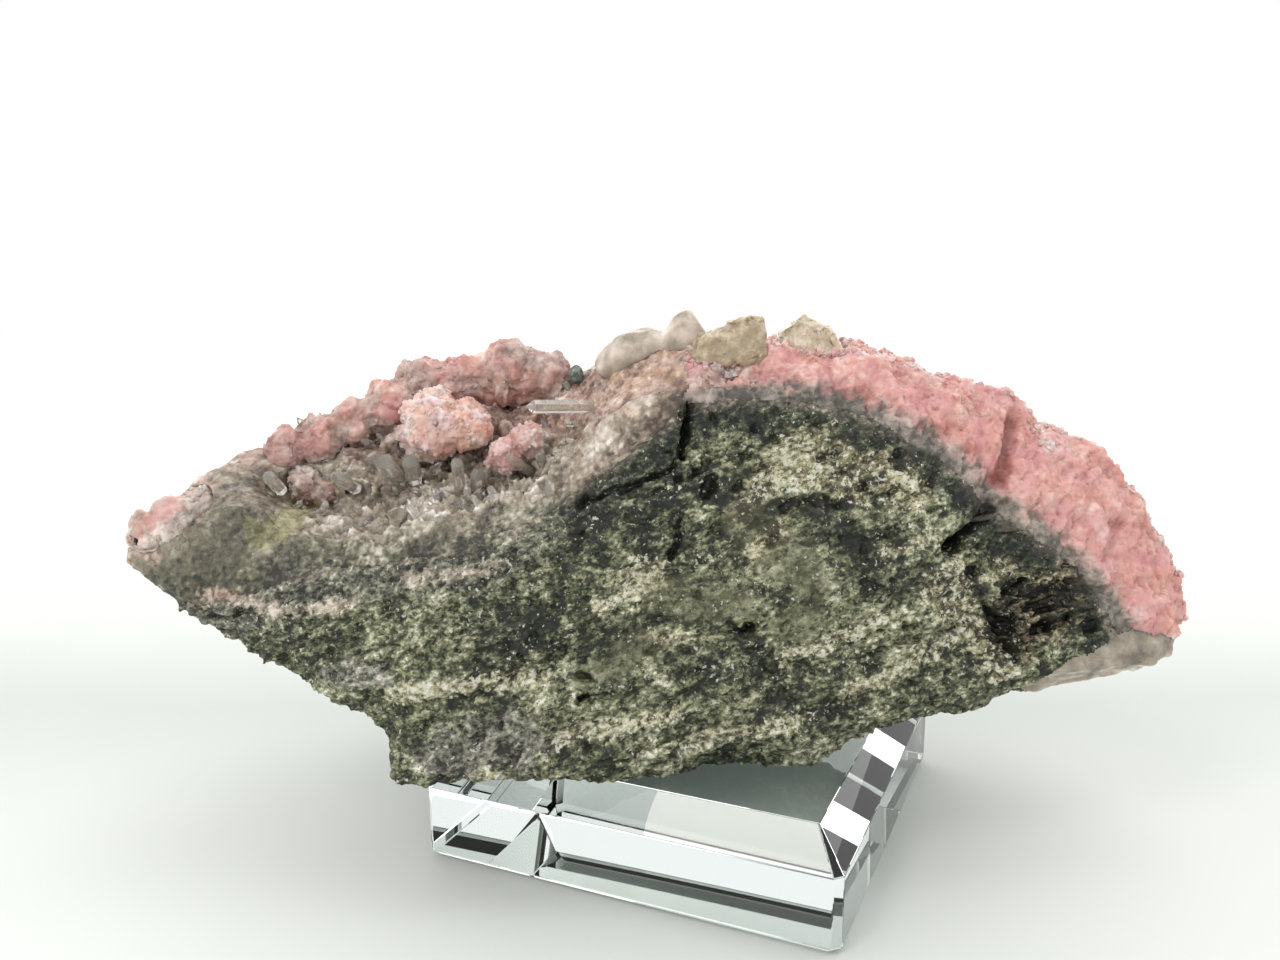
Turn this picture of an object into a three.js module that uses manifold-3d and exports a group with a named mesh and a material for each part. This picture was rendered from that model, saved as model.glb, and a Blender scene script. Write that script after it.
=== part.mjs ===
// Rhodochrosite specimen on a bevelled glass display block. Millimetres, +Z up.
// The origin is the centre of the block's underside, and the stone's long axis runs along X.
// The stone is a broken piece of a vein: dark host rock in front and below, with a crust of grey
// quartz over its left half and a crust of pink rhodochrosite over its right half and back.
import * as THREE from "three";
import { mergeVertices } from "three/addons/utils/BufferGeometryUtils.js";
import Module from "manifold-3d";

const wasm = await Module();
wasm.setup();

// ---------------------------------------------------------------- driving dimensions
const gap = 0.3; // clearance between pieces that touch
const seamGap = 2 * gap; // a drop along a sloping seam, which leaves about one gap between its faces
const block = { side: 60, height: 15, bevelIn: 4.1, bevelDown: 4.6, foot: 0.8, corner: 1.1, turn: -23.8 };
const seamDip = 0.45; // how far the crusts' undersides fall for each millimetre towards the back
const seamAt = -20; // the depth at which the seams below are given
const setBack = 1.2; // how far the stone is set back from where its own rails have it
const stations = { first: -79.5, last: 68.5, count: 40 }; // where the stone's rings stand along X
const extraStations = [-42.2, -41.3, -40.7, -39.6, 43.6, 44.7, 46.3]; // at its foot and the crest's notch
const ringPoints = 24;
const unevenness = { height: 1.1, size: 11 }; // of the broken stone
const lumpiness = 0.2; // of the grown balls, as a share of their radius

// Each finish: colour and roughness.
const finishes = {
  glass: [0xdfe9e6, 0.02],
  host: [0x5d6052, 0.85],
  quartz: [0x9c948a, 0.4],
  paleQuartz: [0xc9c2b4, 0.35],
  rhodochrosite: [0xd99a94, 0.45],
  calcite: [0xcfc7a4, 0.4],
  clear: [0xe4e0da, 0.08],
  bead: [0x46564a, 0.3],
};

// The stone's rails: its edges and the lines along its faces, as [x, y, z], in order round the stone.
const rails = {
  keel: [
    [-79.5, -15, 42.5], [-70, -19, 36.8], [-62, -21, 32.1], [-54, -23, 29.2], [-48, -24, 25.1],
    [-42.6, -25, 23.4], [-41, -26.3, 16.8], [-38.7, -26.5, 15.3], [-31, -26.5, 15.3], [-27.5, -26, 16],
    [-20, -26.4, 15.4], [-14, -26, 16], [-6, -26, 16.5], [7, -25, 18], [15, -24, 18.9],
    [22, -24, 21.8], [30.5, -23, 25.5], [45, -21, 26.3], [51, -20, 27.2], [59.5, -18, 27.6],
    [63.5, -17, 28.3], [66.7, -15, 31], [68.5, -13, 34.3],
  ],
  face: [
    [-79.5, -15.3, 44.5], [-70, -18, 42], [-54, -23, 36.5], [-46, -24.5, 33], [-38, -27, 27],
    [-20, -27, 30], [0, -26, 35], [15, -24, 38], [30, -22.5, 40], [45, -20, 39], [60, -17, 36],
    [68.5, -13.2, 35],
  ],
  brow: [
    [-79.5, -14.6, 46.2], [-70, -15, 48.5], [-63, -15, 51], [-57, -16.5, 49.5], [-48, -18, 48],
    [-38, -19, 50], [-30, -19, 50.6], [-22, -18.5, 53.6], [-17, -18, 59], [-12, -17, 65],
    [-4, -17, 68], [7, -15.5, 69.3], [18, -15.5, 68.8], [27, -15.5, 66], [36, -15.5, 62],
    [45, -15, 56.5], [54, -14.5, 50.5], [60, -14.3, 45.5], [65, -13.5, 38.8], [68.5, -13.2, 35.8],
  ],
  shelf: [
    [-79.5, -13.8, 47], [-70, -10.5, 52.5], [-63, -9.5, 53], [-57, -8.5, 50], [-48, -8.5, 49],
    [-38, -9, 50.6], [-30, -8.5, 51.6], [-22, -8.5, 55], [-17, -10, 62], [-12, -11, 68.5],
    [-4, -11.5, 71.8], [7, -12.5, 71.9], [18, -13, 71.6], [27, -13, 69], [36, -13, 65.2],
    [45, -13, 59.6], [54, -12.6, 55.5], [60, -12.6, 50], [65, -12.6, 42], [68.5, -12.8, 36.2],
  ],
  crest: [
    [-79.5, -12.8, 47.4], [-76, -12, 49.6], [-73, -9, 52.6], [-70.6, -6, 55.6], [-67, -3, 57.6],
    [-58, 3, 59.4], [-48.6, 5, 61.8], [-37.5, 6, 64.2], [-30, 6, 65.2], [-21, 6, 66], [-18, 4, 67.4],
    [-15, 0, 70], [-8.7, -4, 73.2], [-2, -6, 73.8], [5, -8, 73.4], [18, -10, 73.4], [23, -10, 72.5],
    [33, -10, 68.8], [40.4, -10, 66.6], [44, -10, 64.6], [45, -10, 61.6], [48, -10, 60.8],
    [54, -10, 59.1], [60, -10, 53.2], [63.5, -10, 48.7], [66.8, -11, 40.7], [68.5, -12.4, 36.6],
  ],
  shoulder: [
    [-79.5, -12, 46.8], [-70, 3, 51.5], [-54, 14, 53.5], [-38, 19, 55], [-10, 20, 60], [12, 18, 62],
    [35, 15, 57], [52, 9, 49], [62, 1, 41], [68.5, -11, 36.2],
  ],
  back: [
    [-79.5, -11.5, 45], [-70, 5, 44], [-54, 18, 40.5], [-38, 24, 37], [-10, 27.5, 35], [12, 27, 36],
    [35, 24, 36], [52, 16, 35.5], [62, 6, 34.8], [68.5, -10.6, 35.2],
  ],
  heelBack: [
    [-79.5, -12, 43.4], [-70, -2, 36.5], [-54, 9, 28.5], [-42, 13, 21], [-34, 15, 17], [-10, 17, 16.4],
    [12, 15, 17], [26, 12, 21], [45, 8, 26], [60, 1, 29], [68.5, -11.4, 34.4],
  ],
  sole: [
    [-79.5, -13.4, 42.6], [-70, -10, 35.5], [-54, -8, 27], [-44, -8, 20.5], [-40, -8, 15.6],
    [-14, -8, 15.3], [3, -8, 15.3], [11, -6, 15.6], [18, -6, 17.2], [30, -6, 21.6], [45, -8, 24.4],
    [60, -9, 27.2], [68.5, -12.2, 34],
  ],
};

// The seams between host rock and crusts, as [x, z] at the depth seamAt.
const quartzSeam = [
  [-84, 42], [-77.5, 41.4], [-68.5, 38.4], [-61, 40], [-50, 44], [-40.7, 44.6], [-31.5, 45.6],
  [-19.5, 52.2], [-11.6, 58], [-6.4, 62.4], [-3.4, 66.5], [-2.6, 71], [-1.5, 90],
];
const crustSeam = [
  [-6.4, 90], [-5.5, 71], [-3.4, 66.4], [6.8, 67.2], [18.5, 66], [29.3, 60.2], [37, 53.5],
  [46.2, 46.6], [53.5, 39.6], [56, 35.2], [80, 33.4],
];
const heelSeam = [
  [41.5, 20], [43.5, 26.4], [48, 30.4], [54, 32], [56.4, 34.8], [80, 33],
];

// Broken-out pits in the front face: [x, y, z] of the middle, half widths in X and Z, and depth.
const pits = [
  { at: [44.5, -20, 36.8], half: [7.5, 4.6], depth: 4.6 },
  { at: [38.5, -20, 46.6], half: [6.5, 3], depth: 3 },
  { at: [37.2, -18, 53], half: [1.8, 4.2], depth: 2.6 },
  { at: [0.5, -20, 62], half: [2.6, 5.4], depth: 2.4 },
];

// ---------------------------------------------------------------- helpers
// A repeatable value from 0 to 1 for each corner of a unit grid.
function cornerValue(i, j, k) {
  const mixed = Math.sin(i * 127.1 + j * 311.7 + k * 74.7) * 43758.5453;
  return mixed - Math.floor(mixed);
}

// Smooth value noise from -1 to 1.
function noise(x, y, z) {
  const cell = [x, y, z].map(Math.floor);
  const part = [x, y, z].map((value, axis) => value - cell[axis]);
  const ease = part.map((t) => t * t * (3 - 2 * t));
  let sum = 0;
  for (let corner = 0; corner < 8; corner++) {
    const step = [corner & 1, (corner >> 1) & 1, (corner >> 2) & 1];
    const weight = step.reduce((w, s, axis) => w * (s ? ease[axis] : 1 - ease[axis]), 1);
    sum += weight * cornerValue(cell[0] + step[0], cell[1] + step[1], cell[2] + step[2]);
  }
  return 2 * sum - 1;
}

// A three.js geometry as a manifold-3d solid.
function toSolid(geometry) {
  const plain = geometry.index ? geometry.toNonIndexed() : geometry.clone();
  plain.deleteAttribute("normal");
  plain.deleteAttribute("uv");
  const merged = mergeVertices(plain, 1e-4);
  const vertProperties = merged.attributes.position.array;
  const triVerts = new Uint32Array(merged.index.array);
  return new wasm.Manifold(new wasm.Mesh({ numProp: 3, vertProperties, triVerts }));
}

// The largest body of a manifold-3d solid as a three.js geometry: a cut can leave loose chips beside it.
function toGeometry(solid) {
  const bodies = solid.decompose().sort((a, b) => b.volume() - a.volume());
  const mesh = bodies[0].getMesh();
  const places = new Float32Array(mesh.numVert * 3);
  for (let i = 0; i < mesh.numVert; i++) {
    places.set(mesh.vertProperties.subarray(i * mesh.numProp, i * mesh.numProp + 3), i * 3);
  }
  const geometry = new THREE.BufferGeometry();
  geometry.setAttribute("position", new THREE.BufferAttribute(places, 3));
  geometry.setIndex(new THREE.BufferAttribute(mesh.triVerts, 1));
  geometry.computeVertexNormals();
  return geometry;
}

// A closed skin over rings with equal numbers of points, with a fan at each end.
function ringLoft(rings) {
  const count = rings[0].length;
  const points = rings.flat();
  const faces = [];
  for (let r = 0; r + 1 < rings.length; r++) {
    for (let i = 0; i < count; i++) {
      const next = (i + 1) % count;
      const [a, b] = [r * count + i, r * count + next];
      faces.push(a, b, b + count, a, b + count, a + count);
    }
  }
  const middle = (ring) => ring.reduce((sum, p) => sum.add(p), new THREE.Vector3()).divideScalar(count);
  const last = (rings.length - 1) * count;
  points.push(middle(rings[0]), middle(rings[rings.length - 1]));
  for (let i = 0; i < count; i++) {
    const next = (i + 1) % count;
    faces.push(points.length - 2, next, i);
    faces.push(points.length - 1, last + i, last + next);
  }
  const geometry = new THREE.BufferGeometry().setFromPoints(points);
  geometry.setIndex(faces);
  return geometry;
}

// ---------------------------------------------------------------- the stone
// Where a rail crosses the plane at x.
function railPoint(rail, x) {
  const after = Math.max(1, rail.findIndex((p) => p[0] >= x));
  const [a, b] = [rail[after - 1], rail[after]];
  const t = (x - a[0]) / (b[0] - a[0]);
  return new THREE.Vector3(x, a[1] + t * (b[1] - a[1]), a[2] + t * (b[2] - a[2]));
}

// Moves a point of the smooth stone to where the broken one has it.
function weather(point, amount) {
  const { height, size } = unevenness;
  const [x, y, z] = [point.x, point.y, point.z];
  const out = new THREE.Vector3(0, y + 2, z - 42).normalize();
  point.addScaledVector(out, amount * height * noise(x / size, y / size, z / size));
  for (const pit of pits) {
    const across = Math.hypot((x - pit.at[0]) / pit.half[0], (z - pit.at[2]) / pit.half[1]);
    if (y < -8 && across < 1) {
      point.y += pit.depth * (1 - across * across) ** 1.5;
    }
  }
  point.z = Math.max(point.z, block.height + gap);
  return point;
}

// The whole stone in one piece, before its crusts are told apart.
function makeStone() {
  const lines = Object.values(rails).reverse(); // anticlockwise about +X, so that the skin faces out
  const { first, last, count } = stations;
  const even = Array.from({ length: count }, (_, s) => first + (s / (count - 1)) * (last - first));
  const places = [...even, ...extraStations].sort((a, b) => a - b);
  const rings = places.map((x) => {
    const loop = new THREE.CatmullRomCurve3(lines.map((rail) => railPoint(rail, x)), true, "centripetal");
    const fromEnd = Math.min(x - first, last - x) / 14;
    const ring = loop.getSpacedPoints(ringPoints).slice(0, ringPoints);
    return ring.map((p) => weather(p, Math.min(1, 0.25 + fromEnd)));
  });
  return toSolid(ringLoft(rings));
}

// Everything right of and below the heel's seam, moved in by an inset.
function beyondHeel(inset) {
  const outline = [...heelSeam, [80, -20], [heelSeam[0][0], -20]];
  const shape = new THREE.Shape(outline.map(([x, z]) => new THREE.Vector2(x + inset, z)));
  const deep = new THREE.ExtrudeGeometry(shape, { depth: 120, bevelEnabled: false });
  deep.rotateX(Math.PI / 2);
  deep.translate(0, 60, 0);
  return toSolid(deep);
}

// Everything above a seam, as a solid that reaches past the stone and dips towards its back.
function aboveSeam(seam, drop) {
  const [first, last] = [seam[0], seam[seam.length - 1]];
  const outline = [...seam, [last[0], 120], [first[0], 120]].map(([x, z], i) => {
    const onSeam = i < seam.length;
    return new THREE.Vector2(x, onSeam ? z - drop : z);
  });
  const deep = new THREE.ExtrudeGeometry(new THREE.Shape(outline), { depth: 120, bevelEnabled: false });
  deep.rotateX(Math.PI / 2);
  deep.translate(0, 60, 0);
  const places = deep.getAttribute("position");
  for (let i = 0; i < places.count; i++) {
    places.setZ(i, places.getZ(i) - seamDip * (places.getY(i) - seamAt));
  }
  return toSolid(deep);
}

// A lump of sugary rhodochrosite or calcite: balls with uneven skins, grown together.
function makeLump(balls, detail, grow = 0) {
  const solids = balls.map(([x, y, z, radius, flat = 1]) => {
    const ball = new THREE.IcosahedronGeometry(1, detail);
    const places = ball.getAttribute("position");
    const p = new THREE.Vector3();
    for (let i = 0; i < places.count; i++) {
      p.fromBufferAttribute(places, i).normalize();
      const bump = 1 + lumpiness * noise(p.x * 1.7 + x, p.y * 1.7 + y, p.z * 1.7 + z);
      p.multiplyScalar(radius * bump + grow);
      places.setXYZ(i, p.x + x, p.y + y, p.z * flat + z);
    }
    return toSolid(ball);
  });
  return solids.reduce((joined, solid) => joined.add(solid));
}

// A six-sided quartz crystal with a pointed end, from its root to its tip.
function makePoint([root, tip, radius], grow = 0) {
  const [from, to] = [new THREE.Vector3(...root), new THREE.Vector3(...tip)];
  const length = from.distanceTo(to) + grow;
  const shoulder = Math.max(0.45 * length, length - 1.25 * radius);
  const profile = [[0, -grow], [radius + grow, -grow], [radius + grow, shoulder], [0, length]];
  const crystal = new THREE.LatheGeometry(profile.map(([r, h]) => new THREE.Vector2(r, h)), 6);
  const along = to.clone().sub(from).normalize();
  crystal.applyQuaternion(new THREE.Quaternion().setFromUnitVectors(new THREE.Vector3(0, 1, 0), along));
  crystal.translate(from.x, from.y, from.z);
  return toSolid(crystal);
}

// ---------------------------------------------------------------- the block
// The square of the given half width with its corners cut off, at a height.
function squareRing(half, cut, z) {
  const turn = THREE.MathUtils.degToRad(block.turn);
  const corners = [
    [half, -half + cut], [half, half - cut], [half - cut, half], [-half + cut, half],
    [-half, half - cut], [-half, -half + cut], [-half + cut, -half], [half - cut, -half],
  ];
  return corners.map(([x, y]) => new THREE.Vector3(x, y, z).applyAxisAngle(new THREE.Vector3(0, 0, 1), turn));
}

function makeBlock() {
  const half = block.side / 2;
  const rings = [
    squareRing(half - block.foot, block.corner, 0),
    squareRing(half, block.corner, block.foot),
    squareRing(half, block.corner, block.height - block.bevelDown),
    squareRing(half - block.bevelIn, 0.15, block.height),
  ];
  return ringLoft(rings);
}

// ---------------------------------------------------------------- grown-on pieces
const lumps = {
  rhodochrosite_ball: {
    balls: [[-39, -3.4, 59.4, 5.2], [-33.9, -4.6, 60.2, 4.1], [-38.4, -2, 62.6, 3.4]],
    detail: 2,
    finish: finishes.rhodochrosite,
  },
  rhodochrosite_ridge: {
    balls: [
      [-42, 4.8, 65.6, 3.9], [-37, 4.6, 64.8, 4.6], [-32.4, 5, 65.8, 3.9], [-27.6, 3.6, 66.8, 4.8],
      [-23.4, 4.6, 66, 3.8], [-46.4, 2.4, 62, 3.8], [-51.2, 1, 59.8, 3.6], [-56, -0.2, 58, 3.4],
      [-60.6, -1.6, 56.8, 2.8],
    ],
    detail: 1,
    finish: finishes.rhodochrosite,
  },
  rhodochrosite_nub: {
    balls: [[-29.4, -8.2, 55.4, 3], [-26.2, -7.4, 57.2, 2.8]],
    detail: 1,
    finish: finishes.rhodochrosite,
  },
  rhodochrosite_patch: {
    balls: [[-57.6, -6.4, 51.8, 3], [-54.8, -6.8, 50.8, 2.2]],
    detail: 1,
    finish: finishes.rhodochrosite,
  },
  rhodochrosite_tip: {
    balls: [[-76.4, -12.6, 46.8, 2.8], [-73.6, -12.8, 48.6, 3.2], [-71.2, -11.6, 50.8, 2.4]],
    detail: 1,
    finish: finishes.rhodochrosite,
  },
  calcite_knob: {
    balls: [[13.8, -9.2, 72.4, 3.6, 0.9], [17.2, -8.4, 71.6, 2.8, 0.8]],
    detail: 1,
    finish: finishes.calcite,
  },
  calcite_tooth: {
    balls: [[5.4, -11.4, 72.4, 2.8, 1.25], [2, -11.4, 71.4, 3, 0.9]],
    detail: 1,
    finish: finishes.calcite,
  },
  quartz_hump: {
    balls: [[-2.6, -5.6, 72.2, 3.6, 0.95], [-8, -4.4, 71.4, 3.4, 0.8]],
    detail: 1,
    finish: finishes.paleQuartz,
  },
};
const bead = [-18.4, 1.2, 67.8, 1.3];

// Each crystal: root, tip and radius.
const points = [
  [[-15.6, -7.4, 63.4], [-24.6, -12.4, 64], 0.95],
  [[-43.6, -5.4, 52.4], [-45.2, -10.4, 57], 1.35],
  [[-41.4, -5.4, 52.6], [-41, -10.8, 57], 1.2],
  [[-34.6, -7, 50.8], [-34.2, -12.6, 57], 0.85],
  [[-32.2, -7, 50.8], [-31.2, -12.6, 55.4], 1.05],
  [[-24, -6.6, 53.2], [-27.4, -12.4, 57.4], 0.8],
  [[-22.4, -6.6, 54.4], [-22.8, -12.6, 57.4], 0.8],
  [[-50, -5.4, 51.2], [-51.6, -10.8, 54.4], 1.0],
  [[-59.6, -8.8, 51.6], [-60.4, -13, 55], 0.9],
];

// ---------------------------------------------------------------- the group
const specimen = new THREE.Group();
const stoneGroup = new THREE.Group();
stoneGroup.position.y = setBack;
specimen.add(stoneGroup);
const seats = [];

function addMesh(group, name, geometry, [color, roughness]) {
  const material = new THREE.MeshStandardMaterial({ color, roughness, metalness: 0 });
  const mesh = new THREE.Mesh(geometry, material);
  mesh.name = name;
  group.add(mesh);
}

// Adds a piece of the stone, let into by the seats of all the pieces before it, and keeps its own seat.
function place(name, solid, seat, finish) {
  const clear = seats.reduce((left, taken) => left.subtract(taken), solid);
  addMesh(stoneGroup, name, toGeometry(clear), finish);
  seats.push(seat);
}

points.forEach((crystal, i) => {
  place(`quartz_point_${i + 1}`, makePoint(crystal), makePoint(crystal, gap), finishes.clear);
});
place("chlorite_bead", makeLump([bead], 1), makeLump([bead], 1, gap), finishes.bead);
for (const [name, { balls, detail, finish }] of Object.entries(lumps)) {
  place(name, makeLump(balls, detail), makeLump(balls, detail, gap), finish);
}

const stone = makeStone();
const quartz = stone.intersect(aboveSeam(quartzSeam, 0));
place("quartz_crust", quartz, aboveSeam(quartzSeam, seamGap), finishes.quartz);
const crust = stone.intersect(aboveSeam(crustSeam, 0));
place("rhodochrosite_crust", crust, aboveSeam(crustSeam, seamGap), finishes.rhodochrosite);
const heel = stone.intersect(beyondHeel(seamGap));
place("quartz_heel", heel, beyondHeel(0), finishes.paleQuartz);
place("host_rock", stone, null, finishes.host);
addMesh(specimen, "glass_block", makeBlock(), finishes.glass);

export default specimen;
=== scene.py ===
import math

import bmesh
import bpy
import numpy as np
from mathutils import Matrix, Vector
from mathutils.bvhtree import BVHTree


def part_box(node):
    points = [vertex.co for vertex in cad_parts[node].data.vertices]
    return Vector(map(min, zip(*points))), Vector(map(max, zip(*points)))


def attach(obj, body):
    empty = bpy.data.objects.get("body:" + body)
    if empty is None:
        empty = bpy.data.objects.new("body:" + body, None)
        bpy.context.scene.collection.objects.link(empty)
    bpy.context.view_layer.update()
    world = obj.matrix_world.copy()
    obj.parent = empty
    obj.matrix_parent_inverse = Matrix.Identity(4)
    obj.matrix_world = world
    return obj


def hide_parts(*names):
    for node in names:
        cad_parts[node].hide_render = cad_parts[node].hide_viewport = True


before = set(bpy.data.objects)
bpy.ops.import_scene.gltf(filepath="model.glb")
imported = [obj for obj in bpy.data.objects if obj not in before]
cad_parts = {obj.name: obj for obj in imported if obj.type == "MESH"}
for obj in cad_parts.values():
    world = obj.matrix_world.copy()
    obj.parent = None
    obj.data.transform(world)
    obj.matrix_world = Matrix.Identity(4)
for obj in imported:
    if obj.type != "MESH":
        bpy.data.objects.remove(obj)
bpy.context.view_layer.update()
mm = 0.001
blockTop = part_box("glass_block")[1].z / mm
print("frame loaded:", len(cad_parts), "nodes")


# repeatable noise on arrays of points, where 1 is the size of one feature and each use has its own seed

def hashed(cells, seed):
    # a value from 0 to 1 for each whole-number cell
    n = cells[..., 0] * 73856093 + cells[..., 1] * 19349663 + cells[..., 2] * 83492791 + seed * 961748927
    n = (n ^ (n >> 13)) & 0xFFFFFFFF
    n = (n * 1274126177) & 0xFFFFFFFF
    n = (n ^ (n >> 16)) & 0xFFFFFFFF
    return (n & 0xFFFFFF) / float(0xFFFFFF)


def gradientNoise(points, seed):
    base = np.floor(points).astype(np.int64)
    part = points - base
    ease = part * part * part * (part * (part * 6 - 15) + 10)
    total = np.zeros(len(points))
    for corner in np.ndindex(2, 2, 2):
        corner = np.array(corner)
        cell = base + corner
        slope = np.stack([hashed(cell, seed * 3 + axis) * 2 - 1 for axis in range(3)], axis=1)
        weight = np.prod(np.where(corner == 1, ease, 1 - ease), axis=1)
        total += weight * np.sum(slope * (part - corner), axis=1)
    return total * 1.6


def cloud(points, seed=0, octaves=1, gain=0.5):
    total = np.zeros(len(points))
    height = 1.0
    for octave in range(octaves):
        total += height * gradientNoise(points, seed + 31 * octave)
        points = points[:, [1, 2, 0]] * 2.03 + 17.3
        height *= gain
    return total


def grains(points, seed=0):
    # distance to the nearest cell centre, and a value from 0 to 1 for that cell
    base = np.floor(points).astype(np.int64)
    nearest = np.full(len(points), 9.0)
    value = np.zeros(len(points))
    for step in np.ndindex(3, 3, 3):
        cell = base + np.array(step) - 1
        centre = cell + np.stack([hashed(cell, seed * 5 + axis) for axis in range(3)], axis=1)
        gap = np.linalg.norm(points - centre, axis=1)
        closer = gap < nearest
        value = np.where(closer, hashed(cell, seed * 5 + 4), value)
        nearest = np.where(closer, gap, nearest)
    return nearest, value


def facets(points, seed=0, tilt=0.9):
    # flat faces like those of crystals grown together: each cell is a plane with its own height and tilt
    base = np.floor(points).astype(np.int64)
    nearest = np.full(len(points), 9.0)
    height = np.zeros(len(points))
    for step in np.ndindex(3, 3, 3):
        cell = base + np.array(step) - 1
        offset = points - cell - np.stack([hashed(cell, seed * 5 + axis) for axis in range(3)], axis=1)
        gap = np.linalg.norm(offset, axis=1)
        slope = np.stack([hashed(cell, seed * 7 + 50 + axis) * 2 - 1 for axis in range(3)], axis=1)
        plane = hashed(cell, seed * 5 + 4) - 0.5 + tilt * np.sum(slope * offset, axis=1)
        closer = gap < nearest
        height = np.where(closer, plane, height)
        nearest = np.where(closer, gap, nearest)
    return height


def ramp(values, low, high):
    t = np.clip((values - low) / (high - low), 0, 1)
    return t * t * (3 - 2 * t)


# mesh helpers

def newPiece(name, mesh):
    piece = bpy.data.objects.new(name, mesh)
    bpy.context.scene.collection.objects.link(piece)
    return piece


def pieceFrom(bm, name):
    mesh = bpy.data.meshes.new(name)
    bm.to_mesh(mesh)
    bm.free()
    return newPiece(name, mesh)


def copyNode(node):
    bm = bmesh.new()
    bm.from_mesh(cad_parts[node].data)
    bmesh.ops.remove_doubles(bm, verts=bm.verts, dist=0.005 * mm)
    return pieceFrom(bm, node + "_look")


def bevelEdges(piece, width, segments):
    # merges a cut piece's flat faces and softens the edges between them
    bm = bmesh.new()
    bm.from_mesh(piece.data)
    bmesh.ops.dissolve_limit(bm, angle_limit=0.02, verts=bm.verts, edges=bm.edges)
    sharp = [e for e in bm.edges if e.calc_face_angle(0) > 0.3]
    bmesh.ops.bevel(bm, geom=sharp, offset=width, offset_type="OFFSET", segments=segments, profile=0.5,
                    affect="EDGES", material=-1)
    bm.to_mesh(piece.data)
    bm.free()


def applyModifier(piece, kind, **settings):
    modifier = piece.modifiers.new(kind.lower(), kind)
    for key, value in settings.items():
        setattr(modifier, key, value)
    bakeModifiers(piece)


def bakeModifiers(piece):
    graph = bpy.context.evaluated_depsgraph_get()
    mesh = bpy.data.meshes.new_from_object(
        piece.evaluated_get(graph), preserve_all_data_layers=True, depsgraph=graph)
    old = piece.data
    piece.modifiers.clear()
    piece.data = mesh
    bpy.data.meshes.remove(old)


def pointsOf(piece):
    # vertices in millimetres, and their normals
    count = len(piece.data.vertices)
    points = np.empty(count * 3, np.float32)
    normals = np.empty(count * 3, np.float32)
    piece.data.vertices.foreach_get("co", points)
    piece.data.vertex_normals.foreach_get("vector", normals)
    return points.reshape(-1, 3).astype(float) / mm, normals.reshape(-1, 3).astype(float)


def setPoints(piece, points):
    piece.data.vertices.foreach_set("co", (points * mm).astype(np.float32).ravel())
    piece.data.update()


def swell(piece, amount):
    points, normals = pointsOf(piece)
    setPoints(piece, points + normals * amount)


def paint(piece, name, values):
    layer = piece.data.attributes.get(name) or piece.data.attributes.new(name, "FLOAT", "POINT")
    layer.data.foreach_set("value", values.astype(np.float32))


def painted(piece, name):
    values = np.empty(len(piece.data.vertices), np.float32)
    piece.data.attributes[name].data.foreach_get("value", values)
    return values.astype(float)


def treeOf(node):
    bm = bmesh.new()
    bm.from_mesh(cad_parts[node].data)
    tree = BVHTree.FromBMesh(bm)
    bm.free()
    return tree


def distanceTo(tree, points, reach):
    # how far each point is from the tree's surface in millimetres, up to the reach
    found = np.full(len(points), float(reach))
    for i, p in enumerate(points * mm):
        hit = tree.find_nearest(p, reach * mm)
        if hit[0] is not None:
            found[i] = hit[3] / mm
    return found


def refine(piece, shown):
    # splits each face in four where shown says so, given its centre and normal
    bm = bmesh.new()
    bm.from_mesh(piece.data)
    edges = set()
    for face in bm.faces:
        if shown(face.calc_center_median() / mm, face.normal):
            edges.update(face.edges)
    bmesh.ops.subdivide_edges(bm, edges=list(edges), cuts=1, use_grid_fill=True)
    bmesh.ops.triangulate(bm, faces=[f for f in bm.faces if len(f.verts) > 4])
    bm.to_mesh(piece.data)
    bm.free()


def shadeSmooth(piece):
    piece.data.polygons.foreach_set("use_smooth", [True] * len(piece.data.polygons))


def finishPiece(piece, slot, material, *nodes):
    piece.data.materials.clear()
    piece.data.materials.append(material)
    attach(piece, "root")
    if nodes:
        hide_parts(*nodes)


# material helpers

def linear(hexColour):
    channels = [int(hexColour[i:i + 2], 16) / 255 for i in (1, 3, 5)]
    return [c / 12.92 if c <= 0.04045 else ((c + 0.055) / 1.055) ** 2.4 for c in channels] + [1]


def perMetre(size):
    # a texture scale that gives features of about this many millimetres
    return 1 / (size * mm)


def addNode(tree, kind, settings=None, links=None):
    # one node with its properties, input values and ramp stops set and its inputs linked; colours are hex
    node = tree.nodes.new(kind)
    for key, value in (settings or {}).items():
        if key == "stops":
            elements = node.color_ramp.elements
            while len(elements) < len(value):
                elements.new(0.5)
            for element, (position, colour) in zip(elements, value):
                element.position = position
                element.color = linear(colour)
        elif isinstance(key, str) and hasattr(node, key):
            setattr(node, key, value)
        else:
            isHex = isinstance(value, str) and value.startswith("#")
            node.inputs[key].default_value = linear(value) if isHex else value
    for key, source in (links or {}).items():
        tree.links.new(source, node.inputs[key])
    return node


def newMaterial(name, settings, *attributes):
    # the material, its tree and shader, its object coordinates, and the attributes it reads
    material = bpy.data.materials.new(name)
    material.use_nodes = True
    tree = material.node_tree
    tree.nodes.clear()
    shader = addNode(tree, "ShaderNodeBsdfPrincipled", settings)
    addNode(tree, "ShaderNodeOutputMaterial", links={"Surface": shader.outputs["BSDF"]})
    place = addNode(tree, "ShaderNodeTexCoord").outputs["Object"]
    read = {}
    for key in attributes:
        read[key] = addNode(tree, "ShaderNodeAttribute", {"attribute_name": key}).outputs["Fac"]
    return material, tree, shader, place, read


mixFactor, mixFirst, mixSecond, mixed = 0, 6, 7, 2  # a colour mix node's inputs, and its output


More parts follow.
